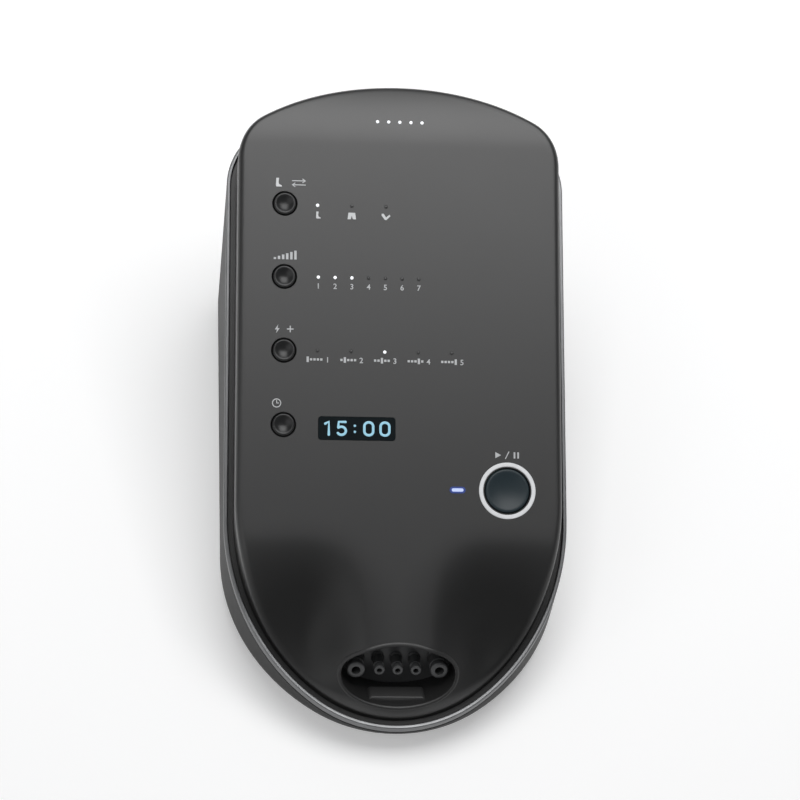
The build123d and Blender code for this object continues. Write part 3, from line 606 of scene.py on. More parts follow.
def sleeve(name, colour):
    """Shrunk plastic sleeve with faint wrinkles round the cell."""
    finish = Finish(name, Coat_Weight=0.3, Coat_Roughness=0.2)
    wrinkles = finish.streaks((90.0, 500.0, 500.0))
    sheen = 0.35 + wrinkles * 0.1
    return finish.surface(wrinkles, scaled(colour, 0.75), colour, sheen, mm(0.05))


def felt(name, colour):
    """Matted fibres."""
    finish = Finish(name, Sheen_Weight=0.4)
    fibres = finish.noise(mm(0.5), 5.0, 0.7)
    sheen = 0.9 + (fibres - 0.5) * 0.1
    return finish.surface(fibres, scaled(colour, 0.6), colour, sheen, mm(0.2))


slot_finishes = {
    "cover": COVER, "base": BASE, "trim": TRIM, "rubber": RUBBER, "key": KEY, "tube": TUBE,
    "light_ring": RING_LIGHT, "lens": LENS, "window": UNLIT, "socket": SOCKET, "nozzle": NOZZLE,
    "component": COMPONENT, "header": HEADER, "steel": STEEL, "cast": CAST, "tray": TRAY,
    "board": board("board_resist"), "cell": sleeve("cell_sleeve", (0.06, 0.2, 0.45, 1.0)),
    "felt": felt("intake_felt", grey(0.6)),
}
for part in frame["record"]["subparts"]:
    materials = frame["nodes"][part["node"]].data.materials
    materials.clear()
    materials.append(slot_finishes[part["material_slot"]].material)
print("finishes", len(bpy.data.materials))


# %% [markdown]
# ## The cover
# The cover's side wall is upright, its top edge is rounded and its face is the height formula. It
# is built as rings that start at the foot of the wall and close in on the middle line. The rings
# follow the outline, so the rounded edge runs cleanly all the way round. The face is then given its
# wall thickness, and the holes for keys, lights, display and port are cut through it.

# %% Cover skin
SPINE = 0.6
TOP_RINGS, EDGE_STEPS = 42, 6


def cover_rows():
    """Rings of points from the foot of the wall to the middle line of the face."""
    wall = outline(COVER_INSET)
    top = skin_height(*wall.T)
    foot = rim_height(wall[:, 1]) - RING_HEIGHT + FLANGE
    edge_low = np.maximum(top - EDGE_RADIUS, foot + mm(0.4))
    rows = [(wall, foot + (edge_low - foot) * share) for share in (0, 0.35, 0.7)]
    for step in range(EDGE_STEPS + 1):
        turn = step / EDGE_STEPS * math.pi / 2
        ring = outline(COVER_INSET + EDGE_RADIUS * (1 - math.cos(turn)))
        drop = (top - edge_low) * (1 - math.sin(turn))
        rows.append((ring, skin_height(*ring.T) - drop))
    ring = outline(COVER_INSET + EDGE_RADIUS)
    spine = np.column_stack([np.zeros(len(ring)), ring[:, 1] * SPINE])
    for step in range(1, TOP_RINGS + 1):
        place = ring + (spine - ring) * step / TOP_RINGS
        rows.append((place, skin_height(*place.T)))
    return [np.column_stack(row) for row in rows]


cover = finish_mesh("cover_skin", *skin(cover_rows()), 40.0, closed=False)
print("cover faces", len(cover.data.polygons))


# %% [markdown]
# ## Cutting the openings
# Each opening is a cutter of the right shape with a slightly flared mouth, because a moulded hole
# has a small lead-in at its edge and that edge catches the light. All the cutters are joined and
# taken away in one step.

# %% Places of the controls on the face
KEY_X = mm(20) - HALF_WIDTH
FIRST_KEY, LAST_KEY = mm(46), TOE_DOWN - mm(100.3)
KEY_NAMES = ("attachment", "pressure", "zone", "time")
KEY_ROWS = {name: FIRST_KEY + i * (LAST_KEY - FIRST_KEY) / 3 for i, name in enumerate(KEY_NAMES)}
KEY_RADIUS, KEY_GAP = mm(4.0), mm(0.25)
START = (HALF_WIDTH - mm(23.1), TOE_DOWN - mm(78.1))
START_RADIUS, RING_INNER, RING_OUTER = mm(7.85), mm(8.1), mm(10.0)
DISPLAY, DISPLAY_SIZE = (KEY_X + mm(25.8), LAST_KEY + mm(1)), (mm(27), mm(8.2))
STATUS, STATUS_SIZE = (START[0] - mm(17.6), START[1]), (mm(5.6), mm(2.3))
STATUS_CORNER, DISPLAY_CORNER = STATUS_SIZE[1] / 2 - mm(0.01), mm(1)
WINDOW_RADIUS = mm(0.6)
# A row of lights: its middle, its place down the face, its pitch, and 1 for each light that is on.
LIGHT_ROWS = {
    "battery": (mm(0), mm(15), mm(4.0), "11111"),
    "option": (KEY_X + mm(23.8), KEY_ROWS["attachment"] + mm(0.4), mm(12.2), "100"),
    "level": (KEY_X + mm(29.85), KEY_ROWS["pressure"], mm(5.95), "1110000"),
    "zone": (KEY_X + mm(35.6), KEY_ROWS["zone"], mm(11.9), "00100"),
}


def row_places(middle, down, pitch, lit):
    """Places of a row's lights on the face."""
    return [(middle + (i - (len(lit) - 1) / 2) * pitch, down) for i in range(len(lit))]


def window_matrix(x, down):
    """Place of a light on the face, which is a little lower where the top end rounds over."""
    y = FACE_ORIGIN.y - down * math.cos(FACE_ANGLE)
    drop = (flat_height(y) - float(face_height(np.array(y)))) * math.cos(FACE_ANGLE)
    return face_matrix(x, down, drop)


def port_matrix():
    """Centre of the port's mouth, Z pointing out of the port."""
    depth = float(dip(np.array(0.0), np.array(PORT_DOWN)))
    out = Vector((0, -math.cos(PORT_TILT), math.sin(PORT_TILT)))
    centre = face_matrix(0, PORT_DOWN, depth).translation
    return with_axes(centre, ACROSS, out.cross(ACROSS), out)


# %% Cutters
CUT = mm(8)
KEY_LEAD, START_LEAD, WINDOW_LEAD, DISPLAY_LEAD = mm(0.35), mm(0.15), mm(0.08), mm(0.2)


def hole_profile(radius, lead):
    """Profile of a round hole with a small lead-in."""
    wide = radius + lead
    return [(0, -CUT), (radius, -CUT), (radius, -lead), (wide, 0), (wide, CUT), (0, CUT)]


def slab(name, place, size, corner, low, high, steps=6, flare=0.0):
    """Rounded rectangular block, wider by the flare above the surface."""
    flared = [(-flare, 0.0), (0.0, flare)] if flare else []
    rows = []
    for up, grow in [(low, 0.0), *flared, (high, flare)]:
        ring = []
        for quarter, (right, far) in enumerate([(1, 1), (-1, 1), (-1, -1), (1, -1)]):
            for i in range(steps + 1):
                turn = (quarter + i / steps) * math.pi / 2
                x = right * (size[0] / 2 - corner) + (corner + grow) * math.cos(turn)
                y = far * (size[1] / 2 - corner) + (corner + grow) * math.sin(turn)
                ring.append((x, y, up))
        rows.append(ring)
    return finish_mesh(name, *skin(rows, cap_first=True, cap_last=True), place=place)


def make_cutters():
    """One cutter for each opening in the cover."""
    key_hole = hole_profile(KEY_RADIUS + KEY_GAP, KEY_LEAD)
    start_hole = hole_profile(RING_OUTER, START_LEAD)
    window_hole = hole_profile(WINDOW_RADIUS, WINDOW_LEAD)
    display, status = face_matrix(*DISPLAY), face_matrix(*STATUS)
    windows = [place for row in LIGHT_ROWS.values() for place in row_places(*row)]
    port_hole = [(0, -PORT_DEPTH), (1, -PORT_DEPTH), (1, PORT_DEPTH * 2), (0, PORT_DEPTH * 2)]
    port_size = [half + SOCKET_WALL for half in PORT_HALF]
    return [
        *[turned("cutter", key_hole, face_matrix(KEY_X, down), 64) for down in KEY_ROWS.values()],
        turned("cutter", start_hole, face_matrix(*START)),
        slab("cutter", display, DISPLAY_SIZE, DISPLAY_CORNER, -CUT, CUT, flare=DISPLAY_LEAD),
        slab("cutter", status, STATUS_SIZE, STATUS_CORNER, -CUT, CUT, 8),
        *[turned("cutter", window_hole, window_matrix(*place), 20) for place in windows],
        turned("cutter", port_hole, port_matrix(), SLEEVE_POINTS, port_size),
    ]


# %% Holes through the cover
TOE_END = mm(30) - HALF_LENGTH
cutter = join(make_cutters(), "cutters")
modify(cover, "SOLIDIFY", thickness=COVER_WALL, offset=-1.0, use_even_offset=True)
modify(cover, "BOOLEAN", operation="DIFFERENCE", solver="EXACT", object=cutter)
cover = plain_copy(cover)
bpy.data.objects.remove(cutter)
fill_poles(cover, 6e-6, split_below=TOE_END)
dress(shade(cover, 30.0), COVER, "cover", "face_cover")


# %% [markdown]
# ## The trim ring
# The trim is one bead that follows the parting line all the way round, which is exactly what
# Geometry Nodes do well: a curve, a small profile and Curve to Mesh. The sizes of the profile are
# named inputs, so the bead can be made finer or bolder without touching the tree. The curve's
# normals are kept level (Z Up), so the bead stays upright while its line climbs to the rear.

# %% Geometry Nodes helpers
SOCKET_KINDS = {float: "Float", int: "Int", type(None): "Object"}


class Tree:
    """A Geometry Nodes tree with named inputs, which ends in real geometry with a material."""

    def __init__(self, name, **inputs):
        self.group = bpy.data.node_groups.new(name, "GeometryNodeTree")
        self.socket("Geometry", "Geometry")
        for label, value in inputs.items():
            socket = self.socket(label, SOCKET_KINDS[type(value)])
            if value is not None:
                socket.default_value = value
        self.socket("Material", "Material")
        self.socket("Geometry", "Geometry", "OUTPUT")
        self.inputs = self.group.nodes.new("NodeGroupInput").outputs

    def socket(self, label, kind, in_out="INPUT"):
        """Adds an input or an output of the whole tree."""
        kind = "NodeSocket" + kind
        return self.group.interface.new_socket(label, in_out=in_out, socket_type=kind)

    def node(self, kind, inputs, output=0, **settings):
        """Adds a Geometry Node, or a shader node by its whole type, and gives one output."""
        kind = kind if kind.startswith("ShaderNode") else "GeometryNode" + kind
        return add_node(self.group, kind, settings, inputs).outputs[output]

    def __getitem__(self, label):
        return self.inputs[label]

    def close(self, geometry):
        """Ends the tree: real geometry first, then the material."""
        real = self.node("RealizeInstances", {"Geometry": geometry})
        inputs = {"Geometry": real, "Material": self["Material"]}
        painted = self.node("SetMaterial", inputs)
        feed(self.group, self.group.nodes.new("NodeGroupOutput").inputs[0], painted)
        return self

    def run(self, thing, finish, **inputs):
        """Runs the tree on an object with the given inputs and returns a plain mesh object."""
        modifier = modify(thing, "NODES", node_group=self.group)
        inputs["Material"] = finish.material
        for item in self.group.interface.items_tree:
            if item.in_out == "INPUT" and item.name in inputs:
                modifier[item.identifier] = inputs[item.name]
        return plain_copy(thing)


def empty_piece(name):
    """Mesh object without points, for a tree to fill."""
    return new_object(name, bpy.data.meshes.new(name))


# %% Bead along a closed line
def bead_tree():
    """Closed edge loop in, rounded bead along it out."""
    tree = Tree("bead", Width=mm(1.5), Height=mm(3), Corner=mm(0.4))
    line = tree.node("MeshToCurve", {"Mesh": tree["Geometry"]})
    upright = tree.node("SetCurveNormal", {"Curve": line}, mode="Z_UP")
    size = {label: tree[label] for label in ("Width", "Height")}
    block = tree.node("CurvePrimitiveQuadrilateral", size)
    corner = {"Curve": block, "Count": 4, "Radius": tree["Corner"]}
    soft = tree.node("FilletCurve", corner, mode="POLY")
    swept = {"Curve": upright, "Profile Curve": soft}
    return tree.close(tree.node("CurveToMesh", swept))


def edge_loops(name, lines):
    """Mesh of edges along lines of points; a line that ends where it starts is closed."""
    points, edges = [], []
    for line in lines:
        line = [tuple(point) for point in line]
        is_ring = len(line) > 1 and line[0] == line[-1]
        base, count = len(points), len(line) - is_ring
        points += line[:count]
        edges += [(base + i, base + (i + 1) % count) for i in range(count - 1 + is_ring)]
    mesh = bpy.data.meshes.new(name)
    mesh.from_pydata(points, edges, [])
    return new_object(name, mesh)


# %% [markdown]
# The cover's foot has a thin flange that reaches out under the trim and closes the dark gap between
# the two. The same outline gives it, as a flat band of four rows.

# %% Flange under the trim
def at_rim(inset, rise):
    """Ring of points at the rim's height, drawn in and raised."""
    flat = outline(inset)
    return np.column_stack([flat, rim_height(flat[:, 1]) + rise])


inner, low, high = COVER_INSET + COVER_WALL, -RING_HEIGHT, FLANGE - RING_HEIGHT
band = [(RING_WIDTH, low), (RING_WIDTH, high), (inner, high), (inner, low), (RING_WIDTH, low)]
flange = finish_mesh("cover_flange", *skin([at_rim(*corner) for corner in band]), 30)
dress(flange, COVER, "cover", "face_cover")

# %% Trim ring
middle_line = at_rim(RING_WIDTH / 2, -RING_HEIGHT / 2)
upright = RING_HEIGHT * math.cos(math.atan2(RIM_REAR - RIM_TOE, 2 * HALF_LENGTH))
trim_line = edge_loops("trim_bead", [[*middle_line, middle_line[0]]])
trim = bead_tree().run(trim_line, TRIM, Width=RING_WIDTH, Height=upright, Corner=mm(0.4))
fill_poles(trim)
dress(shade(trim, 50), TRIM, "trim", "trim_ring")


# %% [markdown]
# ## Keys
# Each mode key is a small round cap whose top is dished for the fingertip, so the light falls off
# towards one side of the dish. A profile turned round the key's own axis gives the dish exactly.

# %% Mode keys
CAP_FOOT = mm(-3.4)


def rounded(radius, top, edge, steps):
    """Quarter of a circle that rounds a profile's top edge."""
    turns = [i / steps * math.pi / 2 for i in range(steps + 1)]
    return [(radius - edge + edge * math.cos(t), top - edge + edge * math.sin(t)) for t in turns]


def dished(radius, proud, dish, edge, low=CAP_FOOT, steps=8):
    """Profile of a round cap with a rounded rim and a dished top."""
    profile = [(0, low), (radius, low)] + rounded(radius, proud, edge, 5)
    bowl = radius - edge * 1.6
    for i in range(steps + 1):
        share = 1 - i / steps
        profile.append((bowl * share, proud - dish * (1 - share**2)))
    return profile


key_profile = dished(KEY_RADIUS, mm(0.3), mm(0.9), mm(0.55))
for name, down in KEY_ROWS.items():
    cap = turned(f"{name}_key_cap", key_profile, face_matrix(KEY_X, down))
    dress(cap, KEY, "key", f"{name}_button", body=f"{name}_key")


# %% [markdown]
# The start button is wider and only slightly dished. A white ring lights up round it, and a thin
# dark liner keeps that light off the cap.

# %% Start button
RING_LINER = mm(0.45)


def tube_profile(inner, outer, top, chamfer):
    """Profile of a flat-topped ring with both top edges taken off."""
    return [(inner, -COVER_WALL), (outer, -COVER_WALL), (outer, top - chamfer),
            (outer - chamfer, top), (inner + chamfer, top), (inner, top - chamfer),
            (inner, -COVER_WALL)]


start_profile = dished(START_RADIUS, mm(0.1), mm(1.0), mm(0.7), steps=14)
ring_profile = tube_profile(RING_INNER + RING_LINER, RING_OUTER, mm(0.3), mm(0.25))
liner_profile = tube_profile(RING_INNER, RING_INNER + RING_LINER, mm(0.12), mm(0.1))
cap, ring, liner = [turned(name, profile, face_matrix(*START), 128) for name, profile in (
    ("start_key_cap", start_profile), ("start_light_ring", ring_profile),
    ("start_ring_liner", liner_profile))]
dress(cap, START_CAP, "key", "start_button", body="start_key")
dress(ring, RING_LIGHT, "light_ring", "start_ring")
dress(liner, SOCKET, "key")


# %% [markdown]
# ## Indicator lights
# The indicator windows are rows of small domes, evenly spaced. One Geometry Nodes tree makes a row:
# points on a line, a dome on each point, real geometry and a material at the end.

# %% Row of domes
BALL = {"Segments": 16, "Rings": 8}


def dome_row_tree():
    """Flat domes on evenly spaced points of a line."""
    tree = Tree("dome_row", Count=5, Pitch=mm(4), Radius=mm(0.6))
    step = tree.node("ShaderNodeCombineXYZ", {"X": tree["Pitch"]})
    spacing = {"Count": tree["Count"], "Offset": step}
    line = tree.node("MeshLine", spacing, mode="OFFSET")
    dome = tree.node("MeshUVSphere", {**BALL, "Radius": tree["Radius"]})
    flat = tree.node("Transform", {"Geometry": dome, "Scale": (1, 1, 0.35)})
    placed = {"Points": line, "Instance": flat}
    return tree.close(tree.node("InstanceOnPoints", placed))


DOMES = dome_row_tree()


def light_row(name, places, pitch, finish):
    """Domes in a row that starts at the first place."""
    sizes = {"Count": len(places), "Pitch": pitch, "Radius": WINDOW_RADIUS}
    row = DOMES.run(empty_piece(name), finish, **sizes)
    row.data.transform(window_matrix(*places[0]))
    return shade(row, 60)


for name, row in LIGHT_ROWS.items():
    for state, sign, finish in (("lit", "1", WHITE_LIGHT), ("unlit", "0", UNLIT)):
        domes = []
        for mark, run in groupby(zip(row[3], row_places(*row)), key=lambda light: light[0]):
            if mark == sign:
                domes.append(light_row(name, [place for _, place in run], row[2], finish))
        if domes:
            dress(join(domes, f"{name}_{state}_lights"), finish, "window", f"{name}_windows")

# %% Status light
place = face_matrix(*STATUS)
lozenge = slab("status_light", place, STATUS_SIZE, STATUS_CORNER, -COVER_WALL, mm(0.08), 8)
dress(lozenge, BLUE_LIGHT, "window", "status_window")
core_size = (STATUS_SIZE[0] * 0.74, STATUS_SIZE[1] * 0.5)
core = slab("status_light_core", place, core_size, STATUS_SIZE[1] * 0.24, 0, mm(0.12), 8)
dress(core, BLUE_CORE, "window")


# %% [markdown]
# ## Display
# The display is four lit digits behind a smoked window. Such digits are strokes of one width with
# round ends, so each is drawn as a centre line, and a tree turns the lines into flat tubes: a round
# profile along every line, a ball on every open end and on every single point, and the whole
# pressed flat. The lines are given in millimetres, and one that ends where it starts is closed.

# %% Strokes with round ends
INK = mm(0.03)


def stroke_tree():
    """Edges in, flat tubes with round ends out; a single point becomes a dot."""
    tree = Tree("round_strokes", Radius=mm(0.4), Flatness=0.2)
    edges, radius = tree["Geometry"], tree["Radius"]
    line = tree.node("MeshToCurve", {"Mesh": edges})
    profile = {"Resolution": 12, "Radius": radius}
    profile = tree.node("CurvePrimitiveCircle", profile, mode="RADIUS")
    swept = {"Curve": line, "Profile Curve": profile, "Fill Caps": True}
    tube = tree.node("CurveToMesh", swept)
    neighbours = tree.node("InputMeshVertexNeighbors", {}, "Vertex Count")
    ends = tree.node("ShaderNodeMath", {0: neighbours, 1: 1.5}, operation="LESS_THAN")
    ball = tree.node("MeshUVSphere", {**BALL, "Radius": radius})
    placed = {"Points": edges, "Instance": ball, "Selection": ends}
    balls = tree.node("InstanceOnPoints", placed)
    both = tree.group.nodes.new("GeometryNodeJoinGeometry")
    for made in (tube, balls):
        feed(tree.group, both.inputs[0], made)
    press = tree.node("ShaderNodeCombineXYZ", {"X": 1.0, "Y": 1.0, "Z": tree["Flatness"]})
    flat = {"Geometry": both.outputs[0], "Scale": press}
    return tree.close(tree.node("Transform", flat))


STROKES = stroke_tree()


def strokes(name, lines, place, width, height, finish):
    """Flat round-ended strokes along lines given in millimetres."""
    loops = edge_loops(name, [[(*point, 0) for point in in_mm(line)] for line in lines])
    made = STROKES.run(loops, finish, Radius=width / 2, Flatness=2 * height / width)
    fill_poles(made)
    made.data.transform(place)
    return shade(made, 60)


def arc(x, y, wide, tall, start, end, steps=14):
    """Points on part of an ellipse, in millimetres."""
    turn = np.radians(np.linspace(start, end, steps + 1))
    return [(x + wide * math.cos(t), y + tall * math.sin(t)) for t in turn]


def closed(line):
    """A line that goes back to its first point."""
    return line + line[:1]


# %% Window and digits
# Centre lines of the lit digits, about their own middle.
DIGITS = {
    "1": [[(-0.9, 1.75), (0.35, 2.55), (0.35, -2.55)]],
    "5": [[(1.3, 2.55), (-1.05, 2.55), (-1.25, 0.35)] + arc(-0.1, -0.95, 1.55, 1.6, 135, -145)],
    "0": [closed(arc(0, 1.0, 1.55, 1.55, 0, 180) + arc(0, -1.0, 1.55, 1.55, 180, 360))],
    ":": [[(0, 1.1)], [(0, -1.3)]],
}
DIGIT_SQUASH, DIGIT_WIDTH, DIGIT_DEPTH, DISPLAY_SINK = 0.9, mm(0.88), mm(0.07), mm(0.05)
DIGIT_PLACES = (-10.2, -5.3, -0.7, 4.2, 9.9)

place = face_matrix(*DISPLAY)
window = slab("display_window", place, DISPLAY_SIZE, DISPLAY_CORNER, -COVER_WALL, -DISPLAY_SINK)
dress(window, LENS, "lens", "display_lens")
lines = [
    [(x + middle, y * DIGIT_SQUASH) for x, y in line]
    for digit, middle in zip("15:00", DIGIT_PLACES) for line in DIGITS[digit]
]
place = face_matrix(*DISPLAY, DISPLAY_SINK)
digits = strokes("display_digits", lines, place, DIGIT_WIDTH, DIGIT_DEPTH, DIGIT_LIGHT)
dress(digits, DIGIT_LIGHT, "lens")


# %% [markdown]
# ## Printed marks
# Each control has a small light mark beside it: plain numbers under the level lights, simple signs
# elsewhere. A real mark is a film of ink a few hundredths of a millimetre thick. Line signs use the
# same stroke tree as the lit digits, and filled signs are flat prisms in the face's own plane. The
# small numbers come from Blender's own font: a text object can be made bolder with its offset, and
# it is turned into a mesh before it takes its place.

# %% Marks from lines, outlines and numbers
DIGIT_HEIGHT, FONT_SHARE, BOLD = mm(2.0), 0.73, mm(0.03)


def line_marks(name, lines, place, width=0.34):
    """Signs drawn in lines."""
    return strokes(name, lines, place, mm(width), INK, PRINT)


def filled_marks(name, shapes, place):
    """Flat prisms of ink from outlines in millimetres."""
    points, faces = [], []
    for shape in map(in_mm, shapes):
        count, base = len(shape), len(points)
        points += [(x, y, up) for up in (0.0, INK) for x, y in shape]
        faces.append(tuple(range(base, base + count))[::-1])
        faces.append(tuple(range(base + count, base + 2 * count)))
        for i in range(count):
            j = (i + 1) % count
            faces.append((base + i, base + j, base + count + j, base + count + i))
    return finish_mesh(name, points, faces, 20.0, place)


def number_mark(name, number, place):
    """A number on the face, centred on its place."""
    data = bpy.data.curves.new(name, "FONT")
    data.body, data.align_x = str(number), "CENTER"
    data.size, data.offset, data.extrude = DIGIT_HEIGHT / FONT_SHARE, BOLD, INK / 2
    data.resolution_u = 4
    thing = plain_copy(new_object(name, data))
    fill_poles(thing, 1e-6)
    thing.data.transform(place @ Matrix.Translation((0, -DIGIT_HEIGHT / 2, INK / 2)))
    return shade(thing, 20)


# %% Shapes of the signs, in millimetres
SIGNS = {
    "boot": [(-0.35, 1.1), (-0.42, -0.75), (-0.3, -1.0), (0.95, -1.0), (0.95, -0.72), (0.3, -0.4),
             (0.2, 0.1), (0.32, 1.1)],
    "hips": [(-1.0, 1.0), (-1.25, -1.0), (-0.3, -1.0), (0, 0.1), (0.3, -1.0), (1.25, -1.0),
             (1.0, 1.0)],
    "arm": [(-1.3, 0.9), (-1.3, 0.3), (-0.35, -0.9), (0.1, -1.0), (1.3, 0.2), (1.05, 0.65),
            (0.0, -0.2), (-0.7, 0.95)],
    "bolt": [(0.25, 1.0), (-0.55, -0.15), (-0.05, -0.15), (-0.25, -1.0), (0.55, 0.15),
             (0.05, 0.15)],
}


def filled(sign, x, size):
    """Outline of a sign beside its place."""
    return [(x + across * size, up * size) for across, up in SIGNS[sign]]


def box(x, y, w, h):
    """Outline of a rectangle about its middle."""
    return [(x + a * w / 2, y + b * h / 2) for a, b in ((-1, -1), (1, -1), (1, 1), (-1, 1))]


def circle(x, y, radius, steps=24):
    """Closed line round a place."""
    return closed(arc(x, y, radius, radius, 0, 360 - 360 / steps, steps - 1))


# %% Marks above the keys
LABEL_UP, START_LABEL_UP = mm(7.6), mm(12.6)
above = {name: face_matrix(KEY_X, down - LABEL_UP) for name, down in KEY_ROWS.items()}
start_above = face_matrix(START[0], START[1] - START_LABEL_UP)

arrows = [[(2.6, 0.75), (7.2, 0.75)], [(6.3, 1.4), (7.2, 0.75), (6.3, 0.1)],
          [(2.6, -0.75), (7.2, -0.75)], [(3.5, -0.1), (2.6, -0.75), (3.5, -1.4)]]
bars = [box(-3.4 + i * 1.45, -1.4 + (0.7 + i * 0.5) / 2, 0.85, 0.7 + i * 0.5) for i in range(6)]
plus = [[(1.2, 0), (3.2, 0)], [(2.2, 1), (2.2, -1)]]
clock = [circle(-2.4, 0, 1.45), [(-2.4, 0.95), (-2.4, 0), (-1.75, 0)]]
play = [[(-4.2, 1.1), (-4.2, -1.1), (-2.2, 0)], box(2.6, 0, 0.6, 2.2), box(3.9, 0, 0.6, 2.2)]
marks = [
    filled_marks("attachment_mark", [filled("boot", -2.6, 1.5)], above["attachment"]),
    line_marks("attachment_arrows", arrows, above["attachment"]),
    filled_marks("pressure_mark", bars, above["pressure"]),
    filled_marks("zone_mark", [filled("bolt", -2.4, 1.6)], above["zone"]),
    line_marks("zone_plus", plus, above["zone"], 0.42),
    line_marks("time_mark", clock, above["time"]),
    filled_marks("start_mark", play, start_above),
    line_marks("start_slash", [[(-0.6, -1.2), (0.6, 1.2)]], start_above),
]

# %% Marks under the lights
SIGN_BELOW, NUMBER_BELOW, BESIDE_SQUARES = mm(3.6), mm(3.1), mm(3.6)
for (x, down), sign in zip(row_places(*LIGHT_ROWS["option"]), ("boot", "hips", "arm")):
    place = face_matrix(x, down + SIGN_BELOW)
    marks.append(filled_marks("option_mark", [filled(sign, 0, 1.2)], place))
for number, (x, down) in enumerate(row_places(*LIGHT_ROWS["level"]), 1):
    marks.append(number_mark("level_mark", number, face_matrix(x, down + NUMBER_BELOW)))
for number, (x, down) in enumerate(row_places(*LIGHT_ROWS["zone"]), 1):
    place, beside = [face_matrix(x + side, down + NUMBER_BELOW) for side in (0, BESIDE_SQUARES)]
    squares = [box(-3.4 + i * 1.2, 0, 0.8, 2.0 if i + 1 == number else 0.8) for i in range(5)]
    marks.append(filled_marks("zone_squares", squares, place))
    marks.append(number_mark("zone_number", number, beside))
dress(join(marks, "printed_marks"), PRINT, "window")


# %% [markdown]
# ## The hose port
# The port is an oval sleeve whose mouth follows the scooped surface, so its rim has to be found
# point by point: a line parallel to the sleeve's axis is followed until it meets the cover's
# surface. Five nozzles stand on a plate at the bottom of the sleeve.

# %% Sleeve
PORT = port_matrix()
RIM_PROUD = mm(0.3)
SETTLE_ROUNDS, SETTLE_STEP = 30, 0.6


def oval(grow):
    """Points round the port's oval, drawn out by a distance."""
    turn = np.linspace(0, 2 * np.pi, SLEEVE_POINTS, endpoint=False)
    return (PORT_HALF[0] + grow) * np.cos(turn), (PORT_HALF[1] + grow) * np.sin(turn)


def mouth_level(x, y):
    """Distance along the port's axis at which a place on its oval meets the cover's surface."""
    level = np.zeros(len(x))
    side, origin = np.array(PORT.to_3x3()), np.array(PORT.translation)
    for _ in range(SETTLE_ROUNDS):
        world = origin + np.column_stack([x, y, level]) @ side.T
        level -= (world[:, 2] - skin_height(world[:, 0], world[:, 1])) * SETTLE_STEP
    return level


def sleeve_rows():
    """Rings up the outer wall, over the crowned rim and down the inner wall."""
    outer, inner = mouth_level(*oval(SOCKET_WALL)), mouth_level(*oval(0))
    bottom = np.full(SLEEVE_POINTS, -PORT_DEPTH)
    rows = [(SOCKET_WALL, bottom), (SOCKET_WALL, outer - mm(0.3)), (SOCKET_WALL, outer)]
    for share in (0.2, 0.5, 0.8):
        crown = RIM_PROUD * math.sin(share * math.pi)
        rows.append((SOCKET_WALL * (1 - share), outer + (inner - outer) * share + crown))
    rows += [(0, inner - mm(0.2)), (0, inner - mm(0.6)), (0, bottom), (SOCKET_WALL, bottom)]
    return [np.column_stack([*oval(grow), level]) for grow, level in rows]


port_sleeve = finish_mesh("port_sleeve", *skin(sleeve_rows()), 40, PORT)
dress(port_sleeve, SOCKET, "socket", "port_socket")

# %% Tongue
TONGUE_SIZE, TONGUE_LENGTH = (mm(20), mm(3.2)), mm(7)
place = PORT @ Matrix.Translation((0, -PORT_HALF[1] + mm(0.6), mm(-4.5)))
tongue = slab("port_tongue", place, TONGUE_SIZE, mm(1.5), -TONGUE_LENGTH / 2, TONGUE_LENGTH / 2)
modify(tongue, "BEVEL", width=mm(0.5), segments=3, limit_method="ANGLE")
dress(shade(plain_copy(tongue), 40), TONGUE_GREY, "socket")

# %% Nozzles
NOZZLES = [(mm(x), mm(radius)) for x, radius in
           ((-14.6, 3.2), (-6.4, 1.9), (0.0, 1.9), (6.4, 1.9), (14.6, 3.2))]
NOZZLE_LENGTH, PLATE = mm(9), mm(2.5)


def nozzle_profile(radius):
    """Hollow nozzle with a foot, a groove for its seal and a rounded tip."""
    low, high = -PORT_DEPTH, -PORT_DEPTH + NOZZLE_LENGTH
    groove, edge, bore = high - mm(3.2), radius * 0.22, radius * 0.5
    foot, neck = radius + mm(0.4), radius - mm(0.3)
    return [
        (0, low), (foot, low), (foot, low + mm(0.5)), (radius, low + mm(0.9)), (radius, groove),
        (neck, groove + mm(0.1)), (neck, groove + mm(0.9)), (radius, groove + mm(1.0)),
        *rounded(radius, high, edge, 4), (bore, high), (bore, low + mm(2)), (0, low + mm(2))]


low, high = -PORT_DEPTH - PLATE, -PORT_DEPTH
nozzles = [turned("nozzle", nozzle_profile(radius), PORT @ Matrix.Translation((x, 0, 0)), 48)
           for x, radius in NOZZLES]
plate_profile = [(0, low), (1, low), (1, high), (0, high)]
nozzles.append(turned("nozzle_plate", plate_profile, PORT, 120, PORT_HALF))
dress(join(nozzles, "nozzle_row"), NOZZLE, "nozzle", "port_nozzles")


# %% [markdown]
# ## The heel
# The rear end has a flat heel, tilted back by eight degrees, for the power key, the charging jack
# and the vents. The key has a flat cap with the usual power sign, and travels with its own body.
# The jack is a black barrel, so a steel liner and a steel contact pin are added to show what it is.

# %% Places on the heel
HEEL_TILT, HEEL_INSET = math.radians(8), mm(9.5)


def heel_matrix(x, up, out=0.0):
    """Place on the flat heel: across, up from the floor and out of its surface."""
    sine, cosine = math.sin(HEEL_TILT), math.cos(HEEL_TILT)
    origin = Vector((x, HALF_LENGTH - HEEL_INSET + up * math.tan(HEEL_TILT), up))
    heel = with_axes(origin, -ACROSS, Vector((0, sine, cosine)), Vector((0, cosine, -sine)))
    return heel @ Matrix.Translation((0, 0, out))


